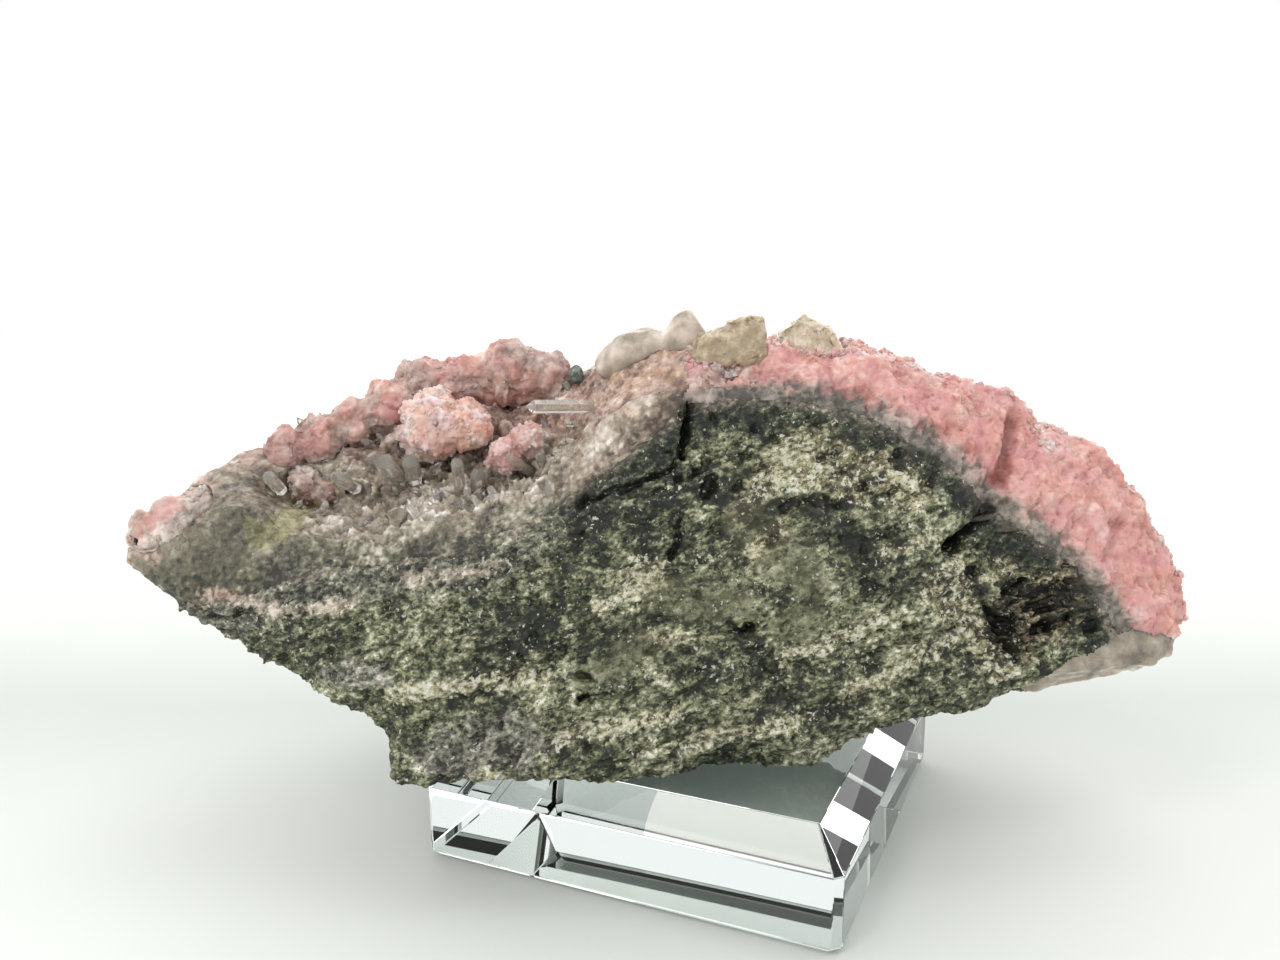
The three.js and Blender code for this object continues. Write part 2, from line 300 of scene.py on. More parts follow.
def grainedLevel(tree, shader, place, tone, look):
    # the level that colours are read at, from the painted tone, grains and specks; both dent the surface
    grain = addNode(tree, "ShaderNodeTexVoronoi", {"Scale": perMetre(look["grain"])}, {"Vector": place})
    speck = addNode(tree, "ShaderNodeTexNoise", {
        "Scale": perMetre(look["speck"]), "Detail": look["detail"], "Roughness": look["ragged"]},
        {"Vector": place})
    heights = {"grain": grain.outputs["Color"], "speck": speck.outputs["Fac"]}
    total = tone
    for key, share in look["shares"].items():
        total = addNode(tree, "ShaderNodeMath", {"operation": "MULTIPLY_ADD", 1: share},
                        {0: heights[key], 2: total}).outputs[0]
    low, high = look["levels"]
    level = addNode(tree, "ShaderNodeMapRange", {"From Min": low, "From Max": high}, {"Value": total})
    before = {}
    for key, depth, strength in look["dents"]:
        dent = addNode(tree, "ShaderNodeBump", {"Distance": depth * mm, "Strength": strength},
                       {"Height": heights[key], **before})
        before = {"Normal": dent.outputs["Normal"]}
    tree.links.new(before["Normal"], shader.inputs["Normal"])
    return level.outputs["Result"], heights["grain"]


def layColours(tree, level, read, look):
    # the base colours at this level, with each layer's over them as far as its attribute is painted
    colour = addNode(tree, "ShaderNodeValToRGB", {"stops": look["base"]}, {"Fac": level}).outputs["Color"]
    for key, most, over in look["layers"]:
        much = addNode(tree, "ShaderNodeMath", {"operation": "MULTIPLY", 1: most, "use_clamp": True},
                       {0: read[key]})
        settings = {"data_type": "RGBA"}
        links = {mixFactor: much.outputs[0], mixFirst: colour}
        if isinstance(over, str):
            settings[mixSecond] = over
        else:
            stops = addNode(tree, "ShaderNodeValToRGB", {"stops": over}, {"Fac": level})
            links[mixSecond] = stops.outputs["Color"]
        colour = addNode(tree, "ShaderNodeMix", settings, links).outputs[mixed]
    return colour


def makeVeiledMaterial(name, look):
    # a pale mineral clouded by veils, which also dent it a little
    material, tree, shader, place, read = newMaterial(name, look["shader"], "tone")
    veil = addNode(tree, "ShaderNodeTexNoise", {
        "Scale": perMetre(look["veil"]), "Detail": 4, "Roughness": look["ragged"]}, {"Vector": place})
    level = addNode(tree, "ShaderNodeMath", {"operation": "ADD"}, {0: veil.outputs["Fac"], 1: read["tone"]})
    tone = addNode(tree, "ShaderNodeValToRGB", {"stops": look["base"]}, {"Fac": level.outputs[0]})
    tree.links.new(tone.outputs["Color"], shader.inputs["Base Color"])
    depth, strength = look["dents"]
    bump = addNode(tree, "ShaderNodeBump", {"Distance": depth * mm, "Strength": strength},
                   {"Height": veil.outputs["Fac"]})
    tree.links.new(bump.outputs["Normal"], shader.inputs["Normal"])
    return material


# camera, lights and stage

camera = {
    "place": (-0.009, -0.1596, 0.0835),
    "pitch": 11.3,  # degrees below the horizon
    "lens": 30.94,
}


def makeCamera():
    data = bpy.data.cameras.new("camera")
    data.lens = camera["lens"]
    data.sensor_width = 36
    data.clip_start = 0.01
    data.clip_end = 20
    shooter = bpy.data.objects.new("camera", data)
    shooter.location = camera["place"]
    shooter.rotation_euler = (math.radians(90 - camera["pitch"]), 0, 0)
    bpy.context.scene.collection.objects.link(shooter)
    bpy.context.scene.camera = shooter


studio = {
    "worldStrength": 1.0,
    "floorSize": 2.6,
    "floorMiddle": -0.2,
    "airGap": 0.1 * mm,  # under the glass, so that its underside mirrors as a real one does
    "lamps": [
        # name, place, aim, width, depth, power, colour
        ("key", (-0.45, -0.5, 0.8), (0, 0, 0.04), 0.3, 0.3, 1.4, "#fff8f0"),
        ("top", (0.15, 0.1, 0.8), (0, 0, 0.04), 0.5, 0.5, 0.8, "#ffffff"),
        ("back", (0.0, 0.82, 0.24), (0, 0.82, 0), 2.8, 1.2, 13.0, "#ffffff"),  # whitens the floor behind
    ],
}


def makeStudio():
    scene = bpy.context.scene
    scene.view_settings.view_transform = "Standard"
    scene.view_settings.look = "None"
    world = bpy.data.worlds.new("studio")
    world.use_nodes = True
    background = world.node_tree.nodes["Background"]
    background.inputs["Color"].default_value = linear("#ffffff")
    background.inputs["Strength"].default_value = studio["worldStrength"]
    scene.world = world
    for lamp in studio["lamps"]:
        makeLamp(*lamp)


def makeLamp(name, place, aim, width, depth, power, colour):
    lamp = bpy.data.lights.new(name, "AREA")
    lamp.shape = "ELLIPSE" if width == depth else "RECTANGLE"
    lamp.size = width
    lamp.size_y = depth
    lamp.energy = power
    lamp.color = linear(colour)[:3]
    holder = bpy.data.objects.new(name, lamp)
    holder.location = place
    holder.rotation_euler = (Vector(aim) - Vector(place)).to_track_quat("-Z", "Y").to_euler()
    holder.visible_camera = False
    bpy.context.scene.collection.objects.link(holder)


def makeShadedFloorMaterial():
    # the floor: matt, with painted light and shade along its depth: palest near the camera, darker in a band
    # beside and behind the stone where its soft shadow lies, and a faint unevenness
    material, tree, shader, place = newMaterial("floor with painted shadow", {"Roughness": 0.7})[:4]
    blotch = addNode(tree, "ShaderNodeTexNoise", {"Scale": perMetre(60), "Detail": 2}, {"Vector": place})
    axes = addNode(tree, "ShaderNodeSeparateXYZ", links={"Vector": place})
    depth = addNode(tree, "ShaderNodeMapRange", {"From Min": -0.06, "From Max": 0.14},
                    {"Value": axes.outputs["Y"]})
    uneven = addNode(tree, "ShaderNodeMath", {"operation": "MULTIPLY_ADD", 1: 0.12},
                     {0: blotch.outputs["Fac"], 2: depth.outputs["Result"]})
    shadowGradient = addNode(tree, "ShaderNodeValToRGB", {"stops": [
        (0.1, "#e6eae6"), (0.36, "#d5d9d5"), (0.56, "#c4c9c4"), (0.8, "#d0d4cf")]},
        {"Fac": uneven.outputs[0]})
    tree.links.new(shadowGradient.outputs["Color"], shader.inputs["Base Color"])
    return material


def makeFloor():
    bm = bmesh.new()
    bmesh.ops.create_grid(bm, x_segments=8, y_segments=8, size=studio["floorSize"] / 2)
    bmesh.ops.translate(bm, verts=bm.verts, vec=(0, studio["floorMiddle"], -studio["airGap"]))
    floor = pieceFrom(bm, "floor")
    floor.data.materials.append(makeShadedFloorMaterial())


makeCamera()
makeStudio()
makeFloor()
print("camera and studio made")


glass = {"edge": 0.12 * mm, "segments": 2}  # the polished arris


def makeGlassMaterial():
    # crystal glass: cast and polished, so its flat faces mirror the room and its depth looks faintly green
    material, tree, shader, place = newMaterial(
        "crystal glass", {"Base Color": "#f4fbf9", "Transmission Weight": 1, "IOR": 1.52})[:4]
    smear = addNode(tree, "ShaderNodeTexNoise", {"Scale": perMetre(14), "Detail": 3}, {"Vector": place})
    rough = addNode(tree, "ShaderNodeMapRange", {"From Min": 0.5, "From Max": 0.8, "To Max": 0.03},
                    {"Value": smear.outputs["Fac"]})
    tree.links.new(rough.outputs["Result"], shader.inputs["Roughness"])
    return material


def makeGlassBlock():
    piece = copyNode("glass_block")
    bevelEdges(piece, glass["edge"], glass["segments"])
    finishPiece(piece, "crystal_glass", makeGlassMaterial(), "glass_block")


makeGlassBlock()
print("glass block made")


# the stone's body is shaped as one surface, so that its relief runs on over every seam, and is then parted

bodyNodes = ["host_rock", "rhodochrosite_crust", "quartz_crust", "quartz_heel"]
stone = {
    "grow": 0.5,  # each CAD piece grows by this, so that the gaps between them close
    "voxel": 0.57,
    "reach": 14,  # how far from a piece its distance still counts
    "heart": (0, 3, 38),  # the point inside the stone that every piece runs in to
    "seamWander": 0.6,
    "backWander": 3.0,
    "seamSize": 3.0,
    "seamBlend": 0.8,  # the reliefs of two pieces run into each other over this much
    "inset": 0.45,  # the relief stands out by this much on average
}


def isShown(centre, normal):
    # the front, and the top as far back as 8 mm, get the finer mesh
    return normal.y < -0.35 or (normal.z > 0.35 and centre.y < 8)


def makeBlank():
    bm = bmesh.new()
    for node in bodyNodes:
        grown = copyNode(node)
        swell(grown, stone["grow"])
        bm.from_mesh(grown.data)
        bpy.data.objects.remove(grown)
    blank = pieceFrom(bm, "blank")
    applyModifier(blank, "REMESH", mode="VOXEL", voxel_size=stone["voxel"] * mm)
    swell(blank, -0.8 * stone["grow"])
    applyModifier(blank, "SMOOTH", factor=0.5, iterations=3)
    points = pointsOf(blank)[0]
    for node in bodyNodes:
        paint(blank, "to_" + node, distanceTo(treeOf(node), points, stone["reach"]))
    refine(blank, isShown)
    return blank


def closeness(points, line, half):
    # 1 on a line of (x, z) points across the front face, 0 at its half width, and less beyond
    best = np.full(len(points), 1e9)
    flat = points[:, [0, 2]]
    for start, end in zip(np.array(line[:-1], float), np.array(line[1:], float)):
        along = end - start
        t = np.clip(((flat - start) @ along) / (along @ along), 0, 1)
        best = np.minimum(best, np.linalg.norm(flat - start - t[:, None] * along, axis=1))
    return 1 - best / half


def nearMarks(points, marks, ragged=0.5, size=1.6, seed=80, soft=0.45):
    # 1 inside any of the marks and 0 outside, with ragged edges
    best = np.full(len(points), -9.0)
    for line, half in marks:
        best = np.maximum(best, closeness(points, line, half))
    return ramp(best + ragged * cloud(points / size, seed, 3, 0.6), 0.0, soft)


foliation = {"turn": 17, "stretch": 2.4}  # the rock's layers rise to the right by this many degrees


def foliated(points):
    # the points in the rock's own layering, squeezed along it so that noise comes out in streaks
    c, s = math.cos(math.radians(foliation["turn"])), math.sin(math.radians(foliation["turn"]))
    along = (c * points[:, 0] + s * points[:, 2]) / foliation["stretch"]
    across = c * points[:, 2] - s * points[:, 0]
    return np.stack([along, points[:, 1] / 1.5, across], axis=1)


# what the broken front face shows: lines of (x, z) in millimetres, each with its half width
marks = {
    "cracks": [
        # line, half width, depth
        ([(-2.6, 67), (-2.4, 64), (-2.9, 61), (-3.4, 58.6)], 0.9, 3.0),
        ([(-3.4, 58.6), (-6, 56.6), (-9, 55.2), (-12.5, 54.2), (-16.8, 52.4)], 0.45, 1.1),
        ([(3.9, 60.1), (0.4, 58), (-3, 55)], 0.5, 0.7),
        ([(39.3, 54.6), (38.9, 52), (37.6, 49.8)], 1.3, 4.0),
        ([(32.6, 47), (35.5, 48.6), (37.2, 49.4)], 0.9, 2.6),
        ([(32, 46.6), (33, 47)], 1.7, 3.0),
        ([(34.6, 43.3), (35.2, 43.5)], 1.2, 2.0),
        ([(40.6, 40.2), (42.8, 40.7)], 1.2, 2.6),
        ([(48.6, 43.7), (49.5, 44)], 1.1, 1.6),
        ([(38.9, 35.8), (41.6, 35.2)], 1.6, 2.6),
        ([(36.8, 38.6), (38.4, 36), (40, 33.5), (41.6, 31)], 0.8, 1.8),
        ([(45, 34.6), (45.8, 34.8)], 1.3, 1.8),
        ([(52, 34.8), (52.8, 34.9)], 1.4, 1.5),
        ([(-0.6, 53.6), (0.2, 55.8)], 1.1, 1.8),
        ([(-5, 46.2), (-4.5, 47.7), (-3.8, 50.2)], 0.7, 1.3),
        ([(3.6, 36.4), (5.6, 36.8)], 0.6, 1.0),
        ([(26, 36.3), (26.6, 36.3)], 0.7, 1.3),
        ([(-16.6, 30.8), (-15.5, 30.6)], 0.8, 1.8),
        ([(-9.4, 21.4), (-8.4, 21.5)], 0.6, 1.0),
        ([(14.6, 58.2), (16, 58.6)], 0.8, 1.3),
        ([(9.5, 51.9), (13, 52.5), (16.4, 52.3)], 0.7, 0.9),
        ([(19.5, 32.5), (26, 34.3), (33.2, 35.9)], 0.5, 0.7),
        ([(-37, 27.2), (-31, 28.2), (-24.9, 31)], 0.5, 0.6),
        ([(-24.4, 33.6), (-22.4, 32.2), (-22, 30)], 0.6, 0.8),
        ([(-16.9, 27.9), (-15.9, 28.3)], 0.6, 1.8),
        ([(19.4, 54.7), (20, 54.9)], 0.9, 1.2),
        ([(24, 53.7), (24.4, 53.8)], 0.7, 1.0),
        ([(-20.7, 33.7), (-18.7, 34.2)], 0.9, 0.9),
        ([(41.5, 36.5), (45, 37.4), (48.6, 38)], 4.6, 1.3),
    ],
    "furrows": [
        ([(42, 62.5), (40.4, 57.8), (38.9, 54.4)], 1.8, 1.8),
        ([(-2.3, 65.8), (1.7, 68.5), (6.9, 71.5)], 1.4, 0.8),
        ([(58, 50), (55, 44)], 1.5, 0.7),
        ([(22, 67), (21, 62)], 1.2, 0.6),
    ],
    "redShadow": [
        ([(-2.3, 65.8), (1.7, 68.5), (6.9, 71.5)], 0.8),
        ([(41.8, 61.5), (40, 57.8), (38.9, 54.4)], 2.0),
    ],
    "cream": [
        ([(7, 55), (12, 60), (16, 59)], 3.0),
        ([(13, 56), (22, 56.4), (26.5, 54)], 3.6),
        ([(4, 51.4), (6, 53.4)], 1.9),
        ([(6, 46.6), (9, 49.4)], 1.6),
        ([(39, 43.6), (41, 43.4)], 1.3),
        ([(36.4, 41.8), (40, 42.2), (44, 41.6)], 0.7),
        ([(32.4, 44), (34.1, 37.1), (37, 33), (39.3, 29.6)], 2.3),
        ([(29, 42), (32, 38)], 2.2),
    ],
    "olive": [
        ([(-6.7, 41.5), (3.7, 40)], 3.4),
        ([(5, 50), (9, 46.5), (13, 43)], 4.0),
        ([(10, 37), (14, 38)], 2.4),
        ([(-11, 33.6), (-7, 34.8)], 2.5),
        ([(-16, 31), (-12.6, 31.8)], 2.0),
    ],
    "white": [
        ([(-9, 20.3), (2, 22.6), (12.2, 24.5)], 1.5),
        ([(-9.5, 42.6), (-8.3, 43.4)], 3.2),
        ([(-6.7, 35.8), (-2.3, 36)], 1.3),
        ([(-19.4, 22.6), (-12, 24.4), (-4.5, 25.5)], 1.4),
        ([(24, 31.4), (33, 34.2)], 1.3),
        ([(-40.8, 28.3), (-30.2, 29.7), (-22.2, 31.1)], 1.5),
        ([(-14.3, 39.8), (-9, 42.5), (-6.4, 45.2)], 1.1),
        ([(10, 33), (22, 37)], 1.3),
        ([(18, 28), (30, 33)], 1.4),
        ([(22, 46), (30, 48)], 1.0),
    ],
    "shade": [
        ([(17, 50), (21, 44), (24, 43)], 4.0),
        ([(-16, 49), (-7, 54)], 4.0),
        ([(-18, 43), (-15, 35)], 4.2),
        ([(8, 52), (17, 52.4)], 1.6),
        ([(-22, 36), (-20, 40)], 3.0),
        ([(0, 55), (8, 50)], 2.5),
    ],
    "purple": [([(-34, 20.6), (-24, 22.8)], 4.2), ([(-50, 30), (-42, 30.5)], 2.0)],
    "brown": [([(41.5, 35.4), (47, 38.4)], 5.6)],
    "pinkVeins": [
        ([(-67.6, 39.4), (-62.3, 39.1), (-54.4, 38.1), (-46.9, 39.5)], 1.1),
        ([(-39.3, 42.6), (-35.3, 43.3), (-31.4, 43.6), (-27.4, 44.9)], 0.9),
    ],
    "pinkTip": [([(-79, 46.5), (-71.5, 52)], 4.0)],
    "paleFlap": [([(-3, 66), (2.5, 69.4)], 3.0)],
    "tipBlush": [([(-77.5, 47), (-73.5, 50.4)], 2.4)],
    "yellow": [([(-60.5, 47.6), (-57, 48.4)], 2.2), ([(-79, 49.5), (-77.5, 47)], 1.4)],
    "orange": [([(-12, 67.6), (-2, 69.2)], 4.8), ([(-6, 72), (3, 73.5)], 2.0)],
    "paleRim": [
        ([(-46, 47.6), (-36, 50.4), (-26, 52.6), (-18, 56.2), (-11, 60.5)], 4.4),
        ([(-13, 70.5), (-9, 73), (-4, 75)], 1.6),
    ],
}


def ledges(points, seed, size):
    # broken layers: flat treads with sharp risers between them, from -1 to 1
    layer = foliated(points)[:, 2] / size + 0.9 * cloud(foliated(points) / (1.6 * size), seed, 2)
    saw = layer - np.floor(layer)
    return np.where(saw < 0.82, saw / 0.82, (1 - saw) / 0.18) * 2 - 1


vug = {
    "left": -75, "front": -13.5,  # the broken face that stands before it
    "slant": -0.092,  # how that face comes forward to the right
    "depth": (2.5, 5.5), "foot": (44, 47), "right": (-14, -8), "back": (6, 12),  # where it begins and ends
}


def vugDepth(points):
    # 1 in the open vug, and 0 on the broken face
    front = vug["front"] + vug["slant"] * (points[:, 0] - vug["left"])
    inside = ramp(points[:, 1] - front, *vug["depth"]) * ramp(points[:, 2], *vug["foot"])
    return inside * (1 - ramp(points[:, 0], *vug["right"])) * (1 - ramp(points[:, 1], *vug["back"]))


def hostRelief(points, broken):
    layered = foliated(points)
    patchy = ramp(cloud(points / 9, 5, 2), -0.3, 0.4)
    height = 0.75 * cloud(points / 9, 1, 3)
    height += (0.1 + 0.25 * patchy) * ledges(points, 2, 3.4)
    height += 0.25 * cloud(layered / 1.7, 3, 2, 0.7) + 0.3 * cloud(points / 1.8, 13, 3, 0.7)
    for size, depth, seed in ((1.7, 0.5, 4), (0.8, 0.3, 11)):
        gap, value = grains(layered * [1.7, 1.3, 1] / size, seed)
        height += depth * (value - 0.5) * (1.3 - gap)
    smooth = nearMarks(points, marks["olive"])
    height *= 1 - 0.4 * smooth
    height -= 0.6 * ramp(cloud(points / 2.4, 6, 2), 0.38, 0.6)
    wavy = points.copy()
    wavy[:, 0] += 0.5 * cloud(points / 2.1 + 9, 7, 2)
    wavy[:, 2] += 0.5 * cloud(points / 2.1, 8, 2)
    for line, half, depth in marks["cracks"]:
        height -= depth * ramp(closeness(wavy, line, half), 0, 0.7) * broken
    leaves = nearMarks(points, marks["brown"])
    height += leaves * (0.7 * ledges(points, 12, 1.5) + 0.8 * facets(points / 1.3, 14))
    return height


columns = {"root": (8, 5), "reach": 52, "size": (3.2, 3.6, 7.5)}  # crystals grew outwards from the rock


def columned(points):
    # the crust's columns as grains: round it, through it, and out along its growth, in units of a column
    across = points[:, 0] - columns["root"][0]
    up = points[:, 2] - columns["root"][1]
    turned = np.arctan2(up, across) * columns["reach"]
    cells = np.stack([turned, points[:, 1], np.hypot(across, up)], axis=1) / columns["size"]
    return grains(cells + 0.3 * cloud(points / 3, 26, 2)[:, None], 27)


def crustRelief(points, broken):
    # a sugary crust: rounded knobs outside, and a granular break in front
    outer = 1 - broken
    knobs = (0.75 - grains(points / 4.6, 20)[0]) * 1.4
    gap, value = columned(points)
    stalks = (0.6 - gap) * 1.3 + (value - 0.5) * 0.8
    chips = facets(points / 1.5, 21)
    sugar = facets(points / 0.75, 22)
    height = outer * (0.75 * knobs + 0.35 * chips) + 0.6 * cloud(points / 6, 23, 2)
    height += broken * (0.7 * stalks + 0.4 * cloud(points / 2.6, 24, 2, 0.6) + 0.32 * chips)
    height += 0.2 * sugar
    for line, half, depth in marks["furrows"]:
        height -= depth * ramp(closeness(points, line, half), 0, 0.9)
    return height


def quartzRelief(points, broken):
    # vein quartz: smooth shell-like breaks in front, knobbly druse outside and in the vug
    rough = ramp(points[:, 0], -62, -45) * (1 - 0.8 * ramp(points[:, 0], -26, -16))  # both ends broke smooth
    height = 0.45 * cloud(points / 7, 41, 2) + 0.12 * cloud(points / 1.6, 42, 3, 0.6) - 0.25
    height += (0.12 + 0.3 * rough) * facets(points / 2.2, 40)
    height += (0.06 + 0.24 * rough) * facets(points / 1.0, 43)
    druse = 0.95 * facets(points / 2.9, 44, 1.1) + 0.5 * facets(points / 1.3, 46, 1.1)
    return height + (1 - broken) * rough * (druse + 0.4 * cloud(points / 2.5, 45, 2))


def heelRelief(points, broken):
    return 0.4 * cloud(points / 4, 50, 3)


reliefs = [hostRelief, crustRelief, quartzRelief, heelRelief]

# where the surface lies deeper: middle, radius, depth
hollows = [
    ((-23, -6.5, 61.5), 4.8, 2.6),
    ((-60, -7.5, 54.5), 4.0, 1.4),
    ((70, -8, 31), 13, 1.3),
]
# the rock's foot stands out over the block's bevel between these sides
brow = {"left": -46, "leftFade": 7, "right": -8, "rightFade": 6, "out": 2.4}


def shapeStone(blank):
    # gives the blank its relief, and returns how near each vertex is to each piece
    points, normals = pointsOf(blank)
    away = np.stack([painted(blank, "to_" + node) for node in bodyNodes], axis=1)
    away[:, 0] -= 5 * nearMarks(points, marks["brown"], 0.2, 2.0, 84) * ramp(-normals[:, 1], -0.3, 0.2)
    wander = np.stack([cloud(points / stone["seamSize"], 60 + i, 3, 0.6) for i in range(4)], axis=1)
    loose = stone["seamWander"] + stone["backWander"] * ramp(points[:, 1], 4, 16)
    nearness = away + loose[:, None] * wander
    share = np.exp(-((nearness - nearness.min(axis=1)[:, None]) / stone["seamBlend"]) ** 2)
    share /= share.sum(axis=1)[:, None]
    broken = ramp(-normals[:, 1], 0.45, 0.75) * (1 - vugDepth(points))
    height = np.zeros(len(points))
    for i, relief in enumerate(reliefs):
        mine = share[:, i] > 0.01
        height[mine] += share[mine, i] * relief(points[mine], broken[mine])
    for middle, radius, depth in hollows:
        reach = np.linalg.norm(points - np.array(middle), axis=1) / radius
        inside = reach < 1
        uneven = 1 + 0.5 * cloud(points[inside] / 2, 51, 2)
        height[inside] -= depth * (1 - ramp(reach[inside], 0.2, 1)) * uneven
    height -= stone["inset"] * (1 - broken)
    moved = points + normals * height[:, None]
    foot = ramp(points[:, 0], brow["left"], brow["left"] + brow["leftFade"])
    foot *= 1 - ramp(points[:, 0], brow["right"] - brow["rightFade"], brow["right"])
    moved[:, 1] -= brow["out"] * foot * ramp(-points[:, 1], 18, 24) * (1 - ramp(points[:, 2], 16, 24))
    resting = points[:, 2] < blockTop + 1.5
    moved[resting, 2] = np.maximum(moved[resting, 2], blockTop + 0.05)
    setPoints(blank, moved)
    paint(blank, "height", height)
    paint(blank, "broken", broken)
    return nearness


def partOwners(blank, nearness):
    # which piece each face belongs to, with stray patches given to the piece round them
    mesh = blank.data
    corners = np.empty(len(mesh.loops), np.int32)
    starts = np.empty(len(mesh.polygons), np.int32)
    mesh.loops.foreach_get("vertex_index", corners)
    mesh.polygons.foreach_get("loop_start", starts)
    owner = np.argmin(np.add.reduceat(nearness[corners], starts), axis=1)
    bm = bmesh.new()
    bm.from_mesh(mesh)
    bm.faces.ensure_lookup_table()
    patches = []
    seen = np.zeros(len(owner), bool)
    for seed in range(len(owner)):
        if seen[seed]:
            continue
        seen[seed] = True
        patch, rim, around = [seed], [seed], []
        while rim:
            for edge in bm.faces[rim.pop()].edges:
                for face in edge.link_faces:
                    i = face.index
                    if owner[i] != owner[seed]:
                        around.append(owner[i])
                    elif not seen[i]:
                        seen[i] = True
                        patch.append(i)
                        rim.append(i)
        patches.append((len(patch), patch, around))
    bm.free()
    largest = {}
    for size, patch, around in patches:
        largest[owner[patch[0]]] = max(size, largest.get(owner[patch[0]], 0))
    for size, patch, around in patches:
        if size < largest[owner[patch[0]]] and around:
            owner[patch] = max(set(around), key=around.count)
    return owner


def cutPiece(blank, owner, index, name):
    # the faces of one owner, closed inwards to the stone's heart
    mesh = blank.data.copy()
    mesh.name = name
    bm = bmesh.new()
    bm.from_mesh(mesh)
    bm.faces.ensure_lookup_table()
    bmesh.ops.delete(bm, geom=[bm.faces[int(i)] for i in np.nonzero(owner != index)[0]], context="FACES")
    rim = [e for e in bm.edges if e.is_boundary]
    inner = bmesh.ops.extrude_edge_only(bm, edges=rim)["geom"]
    ends = [v for v in inner if isinstance(v, bmesh.types.BMVert)]
    bmesh.ops.pointmerge(bm, verts=ends, merge_co=Vector(stone["heart"]) * mm)
    bm.to_mesh(mesh)
    bm.free()
    piece = newPiece(name, mesh)
    shadeSmooth(piece)
    return piece


blank = makeBlank()
print("blank made:", len(blank.data.polygons), "faces")
owner = partOwners(blank, shapeStone(blank))
body = {node: cutPiece(blank, owner, i, node + "_look") for i, node in enumerate(bodyNodes)}
bpy.data.objects.remove(blank)
print("stone shaped:", [len(piece.data.polygons) for piece in body.values()], "faces")


def creviceShade(piece, size=0.35):
    # 1 low in the relief and 0 on its high points: where shade is painted into the creases
    return 1 - ramp(painted(piece, "height"), -size * 2, size)


def paintHost(piece):
    points = pointsOf(piece)[0]
    layered = foliated(points)
    toCrust = painted(piece, "to_rhodochrosite_crust")
    toQuartz = painted(piece, "to_quartz_crust")
    rind = np.minimum(toCrust, toQuartz + 0.6) + 0.9 * cloud(points / 2.2, 90, 3, 0.6)
    rind += 5 * nearMarks(points, marks["brown"], 0.2, 2.0, 84)
    white = nearMarks(points, marks["white"], 0.9, 1.1, 81)
    veins = nearMarks(points, marks["pinkVeins"], 1.1, 1.0, 102)
    cream = nearMarks(points, marks["cream"], 0.6, 1.4, 82)
    shade = nearMarks(points, marks["shade"], 0.6, 2.2, 86, 0.8)
    olive = nearMarks(points, marks["olive"], 0.4, 2.5, 83)
    brown = nearMarks(points, marks["brown"], 0.3, 2.0, 84)
    purple = nearMarks(points, marks["purple"], 0.6, 3, 85)
    rightward = ramp(points[:, 0], -30, -5)
    dark = (1 - ramp(rind, 2.8, 6.0)) * (0.2 + 0.8 * rightward)
    greyZone = 0.75 * (1 - ramp(toQuartz + cloud(points / 3, 79, 2), 3, 7)) * (1 - rightward)
    patches = ramp(cloud(layered / 3.2, 78, 3), 0.0, 0.6)
    tone = 0.36 + 0.1 * cloud(layered / 1.5, 91, 3, 0.7) + 0.17 * cloud(points / 2.6, 87, 2)
    tone += 0.16 * cloud(points / 7, 92, 2) + 0.13 * white + 0.05 * cream + 0.25 * veins
    # painted shade: the tone darkens where the relief lies low, near black in the cracks and pits, and a
    # little in every crease
    tone -= 0.6 * ramp(-painted(piece, "height"), 1.2, 2.6) + 0.2 * creviceShade(piece)
    paint(piece, "tone", tone - 0.27 * shade - 0.16 * dark)
    paint(piece, "flaky", np.clip(white + 0.8 * cream + 0.6 * patches - 0.5 * olive, 0, 1) * (1 - 0.7 * dark))
    paint(piece, "blush", np.maximum(0.8 * (1 - ramp(rind, -0.2, 2.2)) * (1 - brown), 0.55 * veins))
    paint(piece, "cream", np.maximum(cream * (0.75 + 0.5 * cloud(points / 1.2, 94, 2)), 0.55 * white))
    paint(piece, "purple", np.maximum(purple, greyZone))
    paint(piece, "olive", olive)
    paint(piece, "brown", brown)
    paint(piece, "dark", dark)


hostLook = {
    # sizes in millimetres, what each adds to the tone, and dents as source, depth and strength
    "grain": 0.42, "speck": 0.8, "detail": 2, "ragged": 0.75,
    "shares": {"grain": 0.35, "speck": 1.3},
    "levels": (0.77, 1.67),
    "dents": [("speck", 0.16, 0.9), ("grain", 0.16, 0.6)],
    "base": [(0.1, "#171a0f"), (0.3, "#414530"), (0.46, "#6d7054"), (0.6, "#919274"), (0.76, "#bcbaa0"),
             (0.93, "#eceadb")],
    "layers": [
        # painted attribute, the most that it covers, its colours from dark to light
        ("olive", 0.85, [(0.1, "#46472f"), (0.45, "#74745a"), (0.8, "#96957b")]),
        ("purple", 0.65, [(0.08, "#35342e"), (0.36, "#7d7a71"), (0.62, "#a8a39a"), (0.9, "#e4dfd8")]),
        ("dark", 0.9, [(0.08, "#0b0f08"), (0.35, "#2f3626"), (0.6, "#646a54"), (0.85, "#a3a68f")]),
        ("cream", 1.0, [(0.15, "#3d3826"), (0.4, "#827b5c"), (0.58, "#b5ae8c"), (0.8, "#dfdac3"),
                        (0.95, "#f4f1e6")]),
        ("brown", 0.9, [(0.15, "#17130c"), (0.35, "#5a5139"), (0.58, "#9c8f73"), (0.8, "#dccfb2")]),
        ("blush", 0.85, [(0.1, "#5f5a4e"), (0.4, "#978a7d"), (0.7, "#c2aca0"), (0.95, "#e3cdc3")]),
    ],
    "flake": "#d9d8c8",
    "pit": "#14150e",
}


